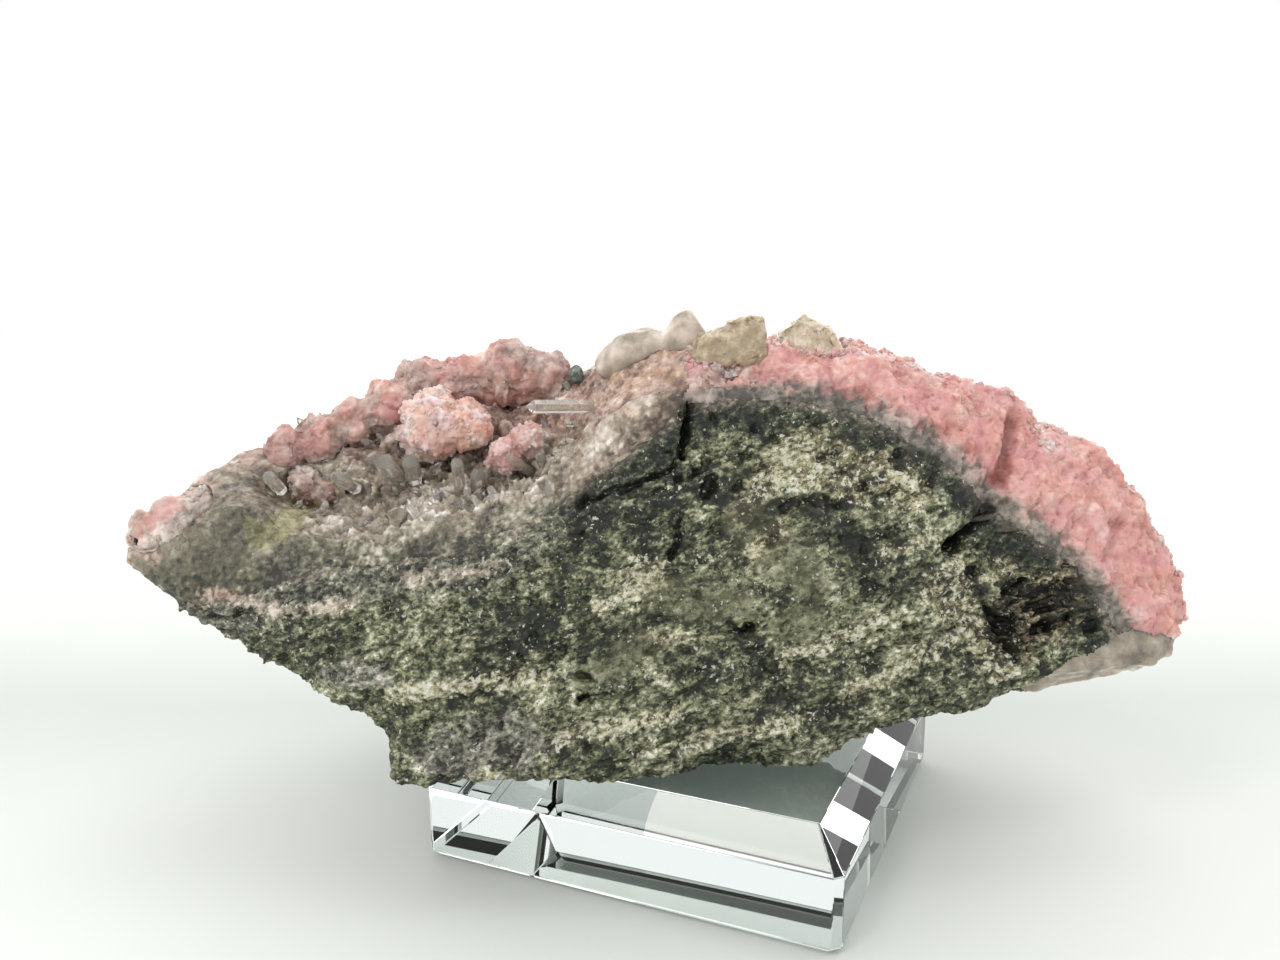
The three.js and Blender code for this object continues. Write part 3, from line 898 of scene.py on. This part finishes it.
def makeHostMaterial():
    # chloritised volcanic rock: broken by hammer, so dull and granular, with glints of quartz and mica
    keys = [layer[0] for layer in hostLook["layers"]]
    material, tree, shader, place, read = newMaterial("chloritic wall rock", {}, "tone", "flaky", *keys)
    layered = addNode(tree, "ShaderNodeMapping", {
        "vector_type": "TEXTURE", "Scale": (1.35, 1.1, 1),
        "Rotation": (0, -math.radians(foliation["turn"]), 0)}, {"Vector": place}).outputs["Vector"]
    level, grain = grainedLevel(tree, shader, layered, read["tone"], hostLook)
    colour = layColours(tree, level, read, hostLook)
    # crisp flakes of quartz and feldspar, and black pits between them
    chip = addNode(tree, "ShaderNodeTexNoise", {"Scale": perMetre(0.7), "Detail": 2, "Roughness": 0.65},
                   {"Vector": place})
    pale = addNode(tree, "ShaderNodeMath", {"operation": "MULTIPLY_ADD", 1: 0.13},
                   {0: read["flaky"], 2: chip.outputs["Fac"]})
    flake = addNode(tree, "ShaderNodeMapRange", {"From Min": 0.66, "From Max": 0.73, "To Max": 0.8},
                    {"Value": pale.outputs[0]})
    pit = addNode(tree, "ShaderNodeMapRange", {"From Min": 0.37, "From Max": 0.33, "To Max": 0.8},
                  {"Value": chip.outputs["Fac"]})
    for spot, tint in ((flake, hostLook["flake"]), (pit, hostLook["pit"])):
        colour = addNode(tree, "ShaderNodeMix", {"data_type": "RGBA", mixSecond: tint}, {
            mixFactor: spot.outputs["Result"], mixFirst: colour}).outputs[mixed]
    tree.links.new(colour, shader.inputs["Base Color"])
    gloss = addNode(tree, "ShaderNodeMapRange", {"To Min": 0.75, "To Max": 0.35}, {"Value": grain})
    tree.links.new(gloss.outputs["Result"], shader.inputs["Roughness"])
    return material


def paintCrust(piece):
    points = pointsOf(piece)[0]
    broken = painted(piece, "broken")
    toHost = painted(piece, "to_host_rock") + 1.3 * cloud(points / 2.2, 95, 3, 0.6)
    paleFlap = nearMarks(points, marks["paleFlap"], 0.5, 1.6, 117, 0.8)
    red = nearMarks(points, marks["redShadow"], 0.4, 1.5, 99, 0.8)
    ashen = np.maximum((1 - ramp(toHost, 1.2, 4.6)) * broken, 0.55 * paleFlap)
    tone = 0.47 + 0.3 * cloud(points / 3.2, 96, 3, 0.6) + 0.22 * (columned(points)[1] - 0.5)
    tone += 0.2 * paleFlap - 0.3 * ashen * ashen + 0.2 * (1 - broken)
    toEnd = ramp(points[:, 0] + 3 * cloud(points / 5, 97, 2), 55, 66)
    paint(piece, "tone", tone)
    # painted shade: dark red laid into the creases of the relief and along the redShadow marks in the
    # shadowed furrows
    paint(piece, "deep", np.maximum(0.35 * creviceShade(piece, 0.8), red))
    paint(piece, "ashen", ashen)
    paint(piece, "cool", ramp(cloud(points / 4.5, 89, 2), -0.25, 0.35))
    paint(piece, "amber", 0.5 * toEnd * ramp(cloud(points / 3, 98, 2), 0.0, 0.4))
    paint(piece, "sow", 1 - broken)


roseLook = {
    "shader": {"Subsurface Weight": 0.45, "Subsurface Radius": (1.0, 0.55, 0.45),
               "Subsurface Scale": 1.8 * mm, "IOR": 1.6, "Roughness": 0.42},
    "grain": 0.55, "speck": 0.9, "detail": 3, "ragged": 0.65,
    "shares": {"speck": 0.45, "grain": 0.3},
    "levels": (0.38, 1.42),
    "dents": [("grain", 0.14, 0.8), ("speck", 0.2, 0.5)],
    "base": [(0.08, "#c07f76"), (0.36, "#d99f96"), (0.58, "#e4b5ac"), (0.8, "#f0d2ca"), (0.95, "#fbeee9")],
    "layers": [
        ("cool", 0.4, "#d998a0"),
        # painted shade: the dark red of the creases and of the shadowed furrows
        ("deep", 0.8, "#8f4a43"),
        ("amber", 0.6, "#dfa07c"),
        ("ashen", 1.0, [(0.06, "#55524a"), (0.3, "#948a80"), (0.6, "#c2b5ab"), (0.9, "#e6dad2")]),
    ],
}
quartzLook = {
    "shader": {"Subsurface Weight": 0.4, "Subsurface Radius": (1.0, 0.9, 0.75),
               "Subsurface Scale": 2.0 * mm, "IOR": 1.544, "Roughness": 0.25},
    "grain": 0.8, "speck": 0.7, "detail": 3, "ragged": 0.7,
    "shares": {"speck": 0.5, "grain": 0.25},
    "levels": (0.41, 1.34),
    "dents": [("grain", 0.12, 0.6), ("speck", 0.15, 0.5)],
    "base": [(0.1, "#4c453b"), (0.4, "#8d8272"), (0.6, "#aea392"), (0.85, "#d6cfc3"), (0.97, "#f3f1ec")],
    "layers": [
        ("green", 0.85, [(0.12, "#26271a"), (0.4, "#66654f"), (0.58, "#95927f"), (0.82, "#d0ccbd")]),
        ("pink", 0.9, [(0.1, "#8c6c62"), (0.45, "#c9a195"), (0.75, "#e2c6bc"), (0.95, "#f3e3dc")]),
        ("yellow", 0.7, [(0.1, "#5c5a35"), (0.5, "#a3a070"), (0.9, "#dad7b4")]),
        ("orange", 0.75, [(0.1, "#9a7a63"), (0.5, "#cdab92"), (0.9, "#ecd9c9")]),
    ],
}


def makeCrystallineMaterial(name, look):
    keys = [layer[0] for layer in look["layers"]]
    material, tree, shader, place, read = newMaterial(name, look["shader"], "tone", *keys)
    level = grainedLevel(tree, shader, place, read["tone"], look)[0]
    tree.links.new(layColours(tree, level, read, look), shader.inputs["Base Color"])
    return material


def makeRhodochrositeMaterial():
    # rhodochrosite: tiny pink rhombs grown on each other, so it is translucent and sparkles like sugar
    return makeCrystallineMaterial("rhodochrosite", roseLook)


def makeQuartzMaterial():
    # vein quartz: milky to glassy, full of fine chlorite where it meets the rock; broken faces shine like wax
    return makeCrystallineMaterial("vein quartz", quartzLook)


def paintQuartz(piece):
    points = pointsOf(piece)[0]
    broken = painted(piece, "broken")
    outer = 1 - broken
    toHost = painted(piece, "to_host_rock")
    leftEnd = 1 - ramp(points[:, 0] + 3 * cloud(points / 5, 100, 2), -66, -50)
    flap = ramp(points[:, 0] + 0.4 * (points[:, 2] - 60), -24, -16)
    low = (1 - ramp(toHost + 1.5 * cloud(points / 3, 101, 3), 1.0, 7.0)) * broken
    veins = nearMarks(points, marks["pinkVeins"], 0.9, 1.2, 102)
    tip = nearMarks(points, marks["pinkTip"], 0.7, 2.4, 102, 0.8)
    rimLight = nearMarks(points, marks["paleRim"], 0.5, 3, 109)
    crystal = grains(points / 1.3, 47)[1] - 0.5
    tone = 0.36 + 0.22 * cloud(points / 1.4, 103, 3, 0.7) * (1 - 0.85 * leftEnd)
    tone += 0.2 * cloud(points / 6, 104, 2)
    # painted shade: darker in the creases of the outer relief
    tone += 0.3 * veins + 0.25 * tip - 0.15 * low * (1 - 0.6 * leftEnd) - 0.2 * creviceShade(piece) * outer
    tone += 0.18 * outer * facets(points / 1.3, 46, 1.1) + 0.25 * low * cloud(points / 0.7, 88, 2)
    tone += 0.15 * crystal * (1 - leftEnd) - 0.02 * leftEnd + (0.06 + 0.2 * broken) * rimLight
    tone += 0.27 * outer * (1 - flap) + 0.24 * flap * (1 - 1.5 * low)
    green = 0.85 * low + 0.3 * leftEnd * broken + 0.4 * ramp(-points[:, 0], 30, 50) * broken
    vugPink = 0.6 * outer * ramp(points[:, 2] + 2 * cloud(points / 4, 105, 2), 53, 58) * (1 - rimLight)
    orange = nearMarks(points, marks["orange"], 0.7, 2.6, 107)
    inVug = ramp(points[:, 0], -68, -60) * (1 - ramp(points[:, 0], -20, -15))
    inVug *= ramp(points[:, 2], 44, 48) * (1 - ramp(points[:, 1], 4, 8))
    clustered = ramp(cloud(points / 4.5, 114, 2), -0.15, 0.35)
    # painted shade: darkened where the relief lies lowest
    paint(piece, "tone", tone - 0.5 * ramp(-painted(piece, "height"), 1.3, 2.6))
    paint(piece, "green", np.clip(green, 0, 1))
    paint(piece, "pink", np.maximum.reduce([0.5 * veins, 0.8 * tip, vugPink, 0.2 * flap]))
    paint(piece, "yellow", nearMarks(points, marks["yellow"], 0.5, 1.5, 106))
    paint(piece, "orange", orange * ramp(cloud(points / 4, 108, 2), -0.5, 0.3))
    paint(piece, "sow", np.maximum(outer * inVug * clustered, 0.25 * ramp(points[:, 1], 12, 16)))


def paintHeel(piece):
    # painted light: its downward faces are painted paler, for the light that its lower edge lets through
    normals = pointsOf(piece)[1]
    paint(piece, "tone", 0.45 * ramp(-normals[:, 2], 0.5, 0.95) - 0.22)


def makePaleQuartzMaterial():
    # milky quartz: veil after veil of tiny bubbles, smooth and softly glowing at its edges
    return makeVeiledMaterial("milky quartz", {
        "shader": {"Subsurface Weight": 0.6, "Subsurface Radius": (1.0, 0.85, 0.75),
                   "Subsurface Scale": 3.0 * mm, "IOR": 1.544, "Roughness": 0.22},
        "veil": 3, "ragged": 0.6,
        "base": [(0.1, "#6f685c"), (0.35, "#a29888"), (0.6, "#d2c4b7"), (0.85, "#efe6de")],
        "dents": (0.2, 0.3),
    })


roseMaterial = makeRhodochrositeMaterial()
paleMaterial = makePaleQuartzMaterial()
paintHost(body["host_rock"])
paintCrust(body["rhodochrosite_crust"])
paintQuartz(body["quartz_crust"])
paintHeel(body["quartz_heel"])
finishPiece(body["host_rock"], "host_rock", makeHostMaterial(), "host_rock")
finishPiece(body["rhodochrosite_crust"], "rhodochrosite", roseMaterial, "rhodochrosite_crust")
finishPiece(body["quartz_crust"], "vein_quartz", makeQuartzMaterial(), "quartz_crust")
finishPiece(body["quartz_heel"], "pale_quartz", paleMaterial, "quartz_heel")
print("body painted")


# the lumps that grew on the body

def makeLump(node, voxel, relief, smoothing=4, grow=0.2, fill=0):
    # a lump with its own relief, whose creases are filled by swelling it before the remesh
    piece = copyNode(node)
    swell(piece, fill)
    applyModifier(piece, "REMESH", mode="VOXEL", voxel_size=voxel * mm)
    swell(piece, grow - fill)
    applyModifier(piece, "SMOOTH", factor=0.5, iterations=smoothing)
    points, normals = pointsOf(piece)
    height = relief(points)
    setPoints(piece, points + normals * height[:, None])
    paint(piece, "height", height)
    shadeSmooth(piece)
    return piece


def clipTo(piece, planes, slack=0.25):
    # presses a lump back behind planes, each a point and a direction out of it
    points = pointsOf(piece)[0]
    for place, outwards in planes:
        out = np.array(outwards) / np.linalg.norm(outwards)
        beyond = np.maximum((points - np.array(place)) @ out - slack * facets(points / 1.6, 48), 0)
        points -= beyond[:, None] * out
    setPoints(piece, points)


def sugaryRelief(points):
    height = 0.8 * (0.6 - grains(points / 2.6, 30)[0]) + 0.4 * facets(points / 1.2, 31)
    return height + 0.25 * facets(points / 0.65, 32) + 0.4 * cloud(points / 2.2, 33, 2)


def domedRelief(points):
    # smooth domes with a little sugar in the hollows between them
    gap, value = grains(points / 5.2 + 0.3 * cloud(points / 3.5, 34, 2)[:, None], 30)
    hollow = ramp(gap, 0.4, 0.8)
    height = 1.2 * (0.5 - gap * gap) + 0.6 * (value - 0.5) + 0.5 * facets(points / 2.9, 31) - 0.1
    return height + (0.2 + 0.2 * hollow) * facets(points / 1.0, 32) + 0.7 * cloud(points / 3.5, 33, 2)


def waxyRelief(points):
    return 0.35 * cloud(points / 3.2, 35, 2)


def slabRelief(points):
    return 0.7 * facets(points / 3.4, 39, 0.7) + 0.12 * facets(points / 1.2, 36)


def crumblyRelief(points):
    return 0.6 * facets(points / 1.9, 37) + 0.3 * facets(points / 0.8, 38) + 0.4 * cloud(points / 2.0, 38, 2)


lumps = {
    # growth and shift in millimetres, how light it is, how much darker it is painted to the right as painted
    # side shade (its left faces the key light), how grey and amber
    "rhodochrosite_ball": {
        "domed": False, "grow": -0.6, "shift": (0, 0, 0),
        "light": 0.49, "sideShade": 0.03, "grey": 0, "amber": 0.7},
    "rhodochrosite_ridge": {
        "domed": True, "grow": 0.2, "shift": (0, 0, -0.3),
        "light": 0, "sideShade": 0, "grey": 0.6, "amber": 0.35},
    "rhodochrosite_nub": {
        "domed": False, "grow": -0.4, "shift": (1.6, 0, 1.2),
        "light": 0.25, "sideShade": 0, "grey": 0.3, "amber": 0.1},
    "rhodochrosite_patch": {
        "domed": False, "grow": -0.4, "shift": (0, 2.6, -0.4),
        "light": 0.1, "sideShade": 0, "grey": 0.8, "amber": 0.2},
    "rhodochrosite_tip": {
        "domed": True, "grow": 0.5, "shift": (0, 0.9, -1),
        "light": 0.22, "sideShade": 0, "grey": 0.7, "amber": 0.4},
}
roseVoxel = 0.3
tipPlanes = [((-75, -13.2, 49), (-0.3, -0.85, 0.45))]  # the tip broke off flush with the front


def makeRoseLump(node, look):
    isTip = node == "rhodochrosite_tip"
    if look["domed"]:
        piece = makeLump(node, roseVoxel, domedRelief, 14, look["grow"], 1.0)
    else:
        piece = makeLump(node, roseVoxel, sugaryRelief, 4, look["grow"])
    setPoints(piece, pointsOf(piece)[0] + np.array(look["shift"]))
    if isTip:
        clipTo(piece, tipPlanes, 0.5)
    points = pointsOf(piece)[0]
    # painted light and shade: lighter to the left, towards the key light, and darker to the right
    light = look["light"] - look["sideShade"] * (points[:, 0] - points[:, 0].mean())
    grey = look["grey"] * (0.4 + 0.8 * ramp(cloud(points / 7, 111, 2), -0.3, 0.4))
    if isTip:
        grey = 0.95 - 0.7 * nearMarks(points, marks["tipBlush"], 0.7, 1.6, 116, 0.8)
    sugar = np.full(len(points), 0.5)
    if look["domed"]:
        sugar = 0.3 * ramp(painted(piece, "height"), 0.3, -0.4)
    paint(piece, "tone", 0.45 + light + 0.35 * cloud(points / 2.8, 110, 3))
    # painted shade: dark red in the lump's creases
    paint(piece, "deep", 0.4 * creviceShade(piece, 0.5))
    paint(piece, "ashen", grey)
    paint(piece, "amber", look["amber"] * ramp(cloud(points / 4.5, 112, 2), -0.4, 0.4))
    paint(piece, "cool", ramp(cloud(points / 5, 89, 2), -0.3, 0.3))
    paint(piece, "sow", sugar)
    finishPiece(piece, "rhodochrosite", roseMaterial, node)
    return piece


hump = {
    "voxel": 0.35, "smoothing": 10, "grow": 0.9, "fill": 1.4,
    "planes": [((-2.2, 0, 76.0), (0.69, 0, 0.72)), ((-11.4, 0, 73), (-0.8, 0, 0.6))],
    "spreadFrom": -6.5,  # left of here it runs out low and wide
    "spread": (0.6, 0, 0.4),
    "top": (71, 74),  # it is crowned above here
    "crowns": [(-2.5, 2.8, 1.2), (-6, 1.8, -0.7)],  # middle, half width, rise
}


def makeHump():
    piece = makeLump("quartz_hump", hump["voxel"], waxyRelief, hump["smoothing"], hump["grow"], hump["fill"])
    clipTo(piece, hump["planes"], 0.1)
    points = pointsOf(piece)[0]
    spread = np.maximum(hump["spreadFrom"] - points[:, 0], 0)
    points -= spread[:, None] * np.array(hump["spread"])
    crown = ramp(points[:, 2], *hump["top"])
    for middle, half, rise in hump["crowns"]:
        points[:, 2] += crown * rise * ramp(half - np.abs(points[:, 0] - middle), 0, half)
    setPoints(piece, points)
    paint(piece, "tone", 0.15 * cloud(points / 2.5, 113, 2))
    finishPiece(piece, "pale_quartz", paleMaterial, "quartz_hump")


def makeCalciteMaterial():
    # calcite: pale honey spar, crumbly and lit through
    return makeVeiledMaterial("calcite", {
        "shader": {"Subsurface Weight": 0.5, "Subsurface Radius": (1.0, 0.85, 0.5),
                   "Subsurface Scale": 2.0 * mm, "IOR": 1.6, "Roughness": 0.35},
        "veil": 1.2, "ragged": 0.65,
        "base": [(0.25, "#a39176"), (0.5, "#c9b99e"), (0.75, "#ece2cf")],
        "dents": (0.3, 0.5),
    })


calciteSize = {"voxel": 0.22, "grow": 0.9, "fill": 1.2}
calcites = {
    # each broke along its planes
    "calcite_knob": {
        "relief": crumblyRelief, "smoothing": 2, "light": 0.1,
        "planes": [((13.5, 0, 76.2), (-0.627, 0, 0.779)), ((13.5, 0, 76.2), (0.362, 0, 0.932)),
                   ((17.6, 0, 74), (0.87, 0, 0.49)), ((0, -11.6, 73), (0.25, -1, 0.3))]},
    "calcite_tooth": {
        "relief": slabRelief, "smoothing": 12, "light": -0.18,
        "planes": [((3.6, 0, 75.5), (-0.254, 0, 0.967)), ((7.8, 0, 74), (1, 0, 0.05)),
                   ((0, -12.4, 73), (-0.1, -1, 0.25))]},
}


def makeCalcites():
    material = makeCalciteMaterial()
    for node, look in calcites.items():
        piece = makeLump(node, calciteSize["voxel"], look["relief"], look["smoothing"],
                         calciteSize["grow"], calciteSize["fill"])
        clipTo(piece, look["planes"])
        paint(piece, "tone", look["light"] + 0.1 * cloud(pointsOf(piece)[0] / 3, 115, 2))
        finishPiece(piece, "calcite", material, node)


def makeChloriteMaterial():
    # chlorite: a bead of dark green scales, waxy
    material, tree, shader, place = newMaterial("chlorite", {"Roughness": 0.2, "IOR": 1.58})[:4]
    scale = addNode(tree, "ShaderNodeTexNoise", {"Scale": perMetre(0.8), "Detail": 2}, {"Vector": place})
    tone = addNode(tree, "ShaderNodeValToRGB", {"stops": [(0.35, "#45544b"), (0.65, "#8a978c")]},
                   {"Fac": scale.outputs["Fac"]})
    tree.links.new(tone.outputs["Color"], shader.inputs["Base Color"])
    return material


bead = {"voxel": 0.25, "smoothing": 4, "grow": 0, "down": 0.9}


def makeBead():
    piece = makeLump("chlorite_bead", bead["voxel"], waxyRelief, bead["smoothing"], bead["grow"])
    setPoints(piece, pointsOf(piece)[0] - np.array((0, 0, bead["down"])))
    finishPiece(piece, "chlorite", makeChloriteMaterial(), "chlorite_bead")


def makeClearQuartzMaterial():
    # rock crystal: clear points with faintly ribbed prism faces
    material, tree, shader, place = newMaterial("rock crystal", {
        "Base Color": "#f6f2ea", "Transmission Weight": 0.82, "IOR": 1.544, "Roughness": 0.03})[:4]
    ribs = addNode(tree, "ShaderNodeTexNoise", {"Scale": perMetre(0.5), "Detail": 1}, {"Vector": place})
    bump = addNode(tree, "ShaderNodeBump", {"Distance": 0.03 * mm, "Strength": 0.5},
                   {"Height": ribs.outputs["Fac"]})
    tree.links.new(bump.outputs["Normal"], shader.inputs["Normal"])
    return material


clearPoint = {"edge": 0.03 * mm, "segments": 1}


def makeClearPoint(node):
    piece = copyNode(node)
    bevelEdges(piece, clearPoint["edge"], clearPoint["segments"])
    finishPiece(piece, "clear_quartz", clearMaterial, node)


roses = {node: makeRoseLump(node, lumps[node]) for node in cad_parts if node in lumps}
print("pink lumps made:", [len(piece.data.polygons) for piece in roses.values()])
makeHump()
makeCalcites()
makeBead()
clearMaterial = makeClearQuartzMaterial()
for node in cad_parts:
    if node.startswith("quartz_point_"):
        makeClearPoint(node)
print("lumps and clear points made")


# small crystals sown over the pieces that bear them

def makeRhomb():
    # a rhomb like a squashed cube, 1 across
    bm = bmesh.new()
    bmesh.ops.create_cube(bm, size=0.9)
    for v in bm.verts:
        v.co += Vector((1, 1, 1)) * (v.co.x + v.co.y + v.co.z) * 0.09
    return pieceFrom(bm, "rhomb")


def makeSpike():
    # a six-sided prism with a point, 1 long
    bm = bmesh.new()
    bmesh.ops.create_cone(bm, cap_ends=True, segments=6, radius1=0.24, radius2=0.22, depth=0.75)
    bmesh.ops.translate(bm, verts=bm.verts, vec=(0, 0, 0.3))
    top = [v for v in bm.verts if v.co.z > 0]
    lid = [f for f in bm.faces if all(v in top for v in f.verts)]
    point = bmesh.ops.poke(bm, faces=lid)["verts"][0]
    point.co.z += 0.28
    return pieceFrom(bm, "spike")


sown = {
    # crystals to the square millimetre, least and greatest size in millimetres, lean in radians, seed
    "crust_rhombs": {"density": 1.5, "sizes": (0.3, 0.8), "lean": 1.2, "seed": 1},
    "lump_rhombs": {"density": 1.6, "sizes": (0.2, 0.5), "lean": 1.2, "seed": 5},
    "quartz_druse": {"density": 0.16, "sizes": (0.8, 2.8), "lean": 1.0, "seed": 9},
}


def sow(name, sources, crystal):
    # crystals on the sources' faces, as dense as their "sow" attribute says
    density = sown[name]["density"] / mm / mm
    least, greatest = sown[name]["sizes"]
    lean = sown[name]["lean"]
    seed = sown[name]["seed"]
    bm = bmesh.new()
    for source in sources:
        bm.from_mesh(source.data)
    piece = pieceFrom(bm, name)
    tree = bpy.data.node_groups.new(name, "GeometryNodeTree")
    for way in ("INPUT", "OUTPUT"):
        tree.interface.new_socket("Geometry", in_out=way, socket_type="NodeSocketGeometry")
    given = addNode(tree, "NodeGroupInput")
    where = addNode(tree, "GeometryNodeInputNamedAttribute", {"data_type": "FLOAT", "Name": "sow"})
    dense = addNode(tree, "ShaderNodeMath", {"operation": "MULTIPLY", 1: density}, {0: where.outputs[0]})
    spots = addNode(tree, "GeometryNodeDistributePointsOnFaces", {"Seed": seed},
                    {"Mesh": given.outputs[0], "Density": dense.outputs[0]})
    ground = addNode(tree, "GeometryNodeInputNamedAttribute", {"data_type": "FLOAT", "Name": "tone"})
    lighter = addNode(tree, "FunctionNodeRandomValue", {
        "data_type": "FLOAT", 2: -0.05, 3: 0.15, 8: seed + 3})
    tone = addNode(tree, "ShaderNodeMath", {"operation": "ADD"},
                   {0: ground.outputs[0], 1: lighter.outputs[1]})
    toned = addNode(tree, "GeometryNodeStoreNamedAttribute", {
        "data_type": "FLOAT", "domain": "POINT", "Name": "tone"},
        {"Geometry": spots.outputs["Points"], "Value": tone.outputs[0]})
    size = addNode(tree, "FunctionNodeRandomValue", {
        "data_type": "FLOAT", 2: least * mm, 3: greatest * mm, 8: seed + 1})
    seedling = addNode(tree, "GeometryNodeObjectInfo", {"Object": crystal})
    placed = addNode(tree, "GeometryNodeInstanceOnPoints", links={
        "Points": toned.outputs[0], "Instance": seedling.outputs["Geometry"],
        "Rotation": spots.outputs["Rotation"], "Scale": size.outputs[1]})
    turn = addNode(tree, "FunctionNodeRandomValue", {
        "data_type": "FLOAT_VECTOR", 0: (-lean, -lean, -3.1), 1: (lean, lean, 3.1), 8: seed + 2})
    turned = addNode(tree, "GeometryNodeRotateInstances", links={
        "Instances": placed.outputs[0], "Rotation": turn.outputs[0]})
    whole = addNode(tree, "GeometryNodeRealizeInstances", links={"Geometry": turned.outputs[0]})
    addNode(tree, "NodeGroupOutput", links={0: whole.outputs[0]})
    modifier = piece.modifiers.new(name, "NODES")
    modifier.node_group = tree
    bakeModifiers(piece)
    return piece


rhomb = makeRhomb()
spike = makeSpike()
rhombs = sow("crust_rhombs", [body["rhodochrosite_crust"]], rhomb)
finishPiece(rhombs, "rhodochrosite", roseMaterial)
lumpRhombs = sow("lump_rhombs", roses.values(), rhomb)
finishPiece(lumpRhombs, "rhodochrosite", roseMaterial)
spikes = sow("quartz_druse", [body["quartz_crust"]], spike)
finishPiece(spikes, "clear_quartz", clearMaterial)
for crystal in (rhomb, spike):
    bpy.data.objects.remove(crystal)
print("crystals sown:", [len(piece.data.polygons) for piece in (rhombs, lumpRhombs, spikes)])
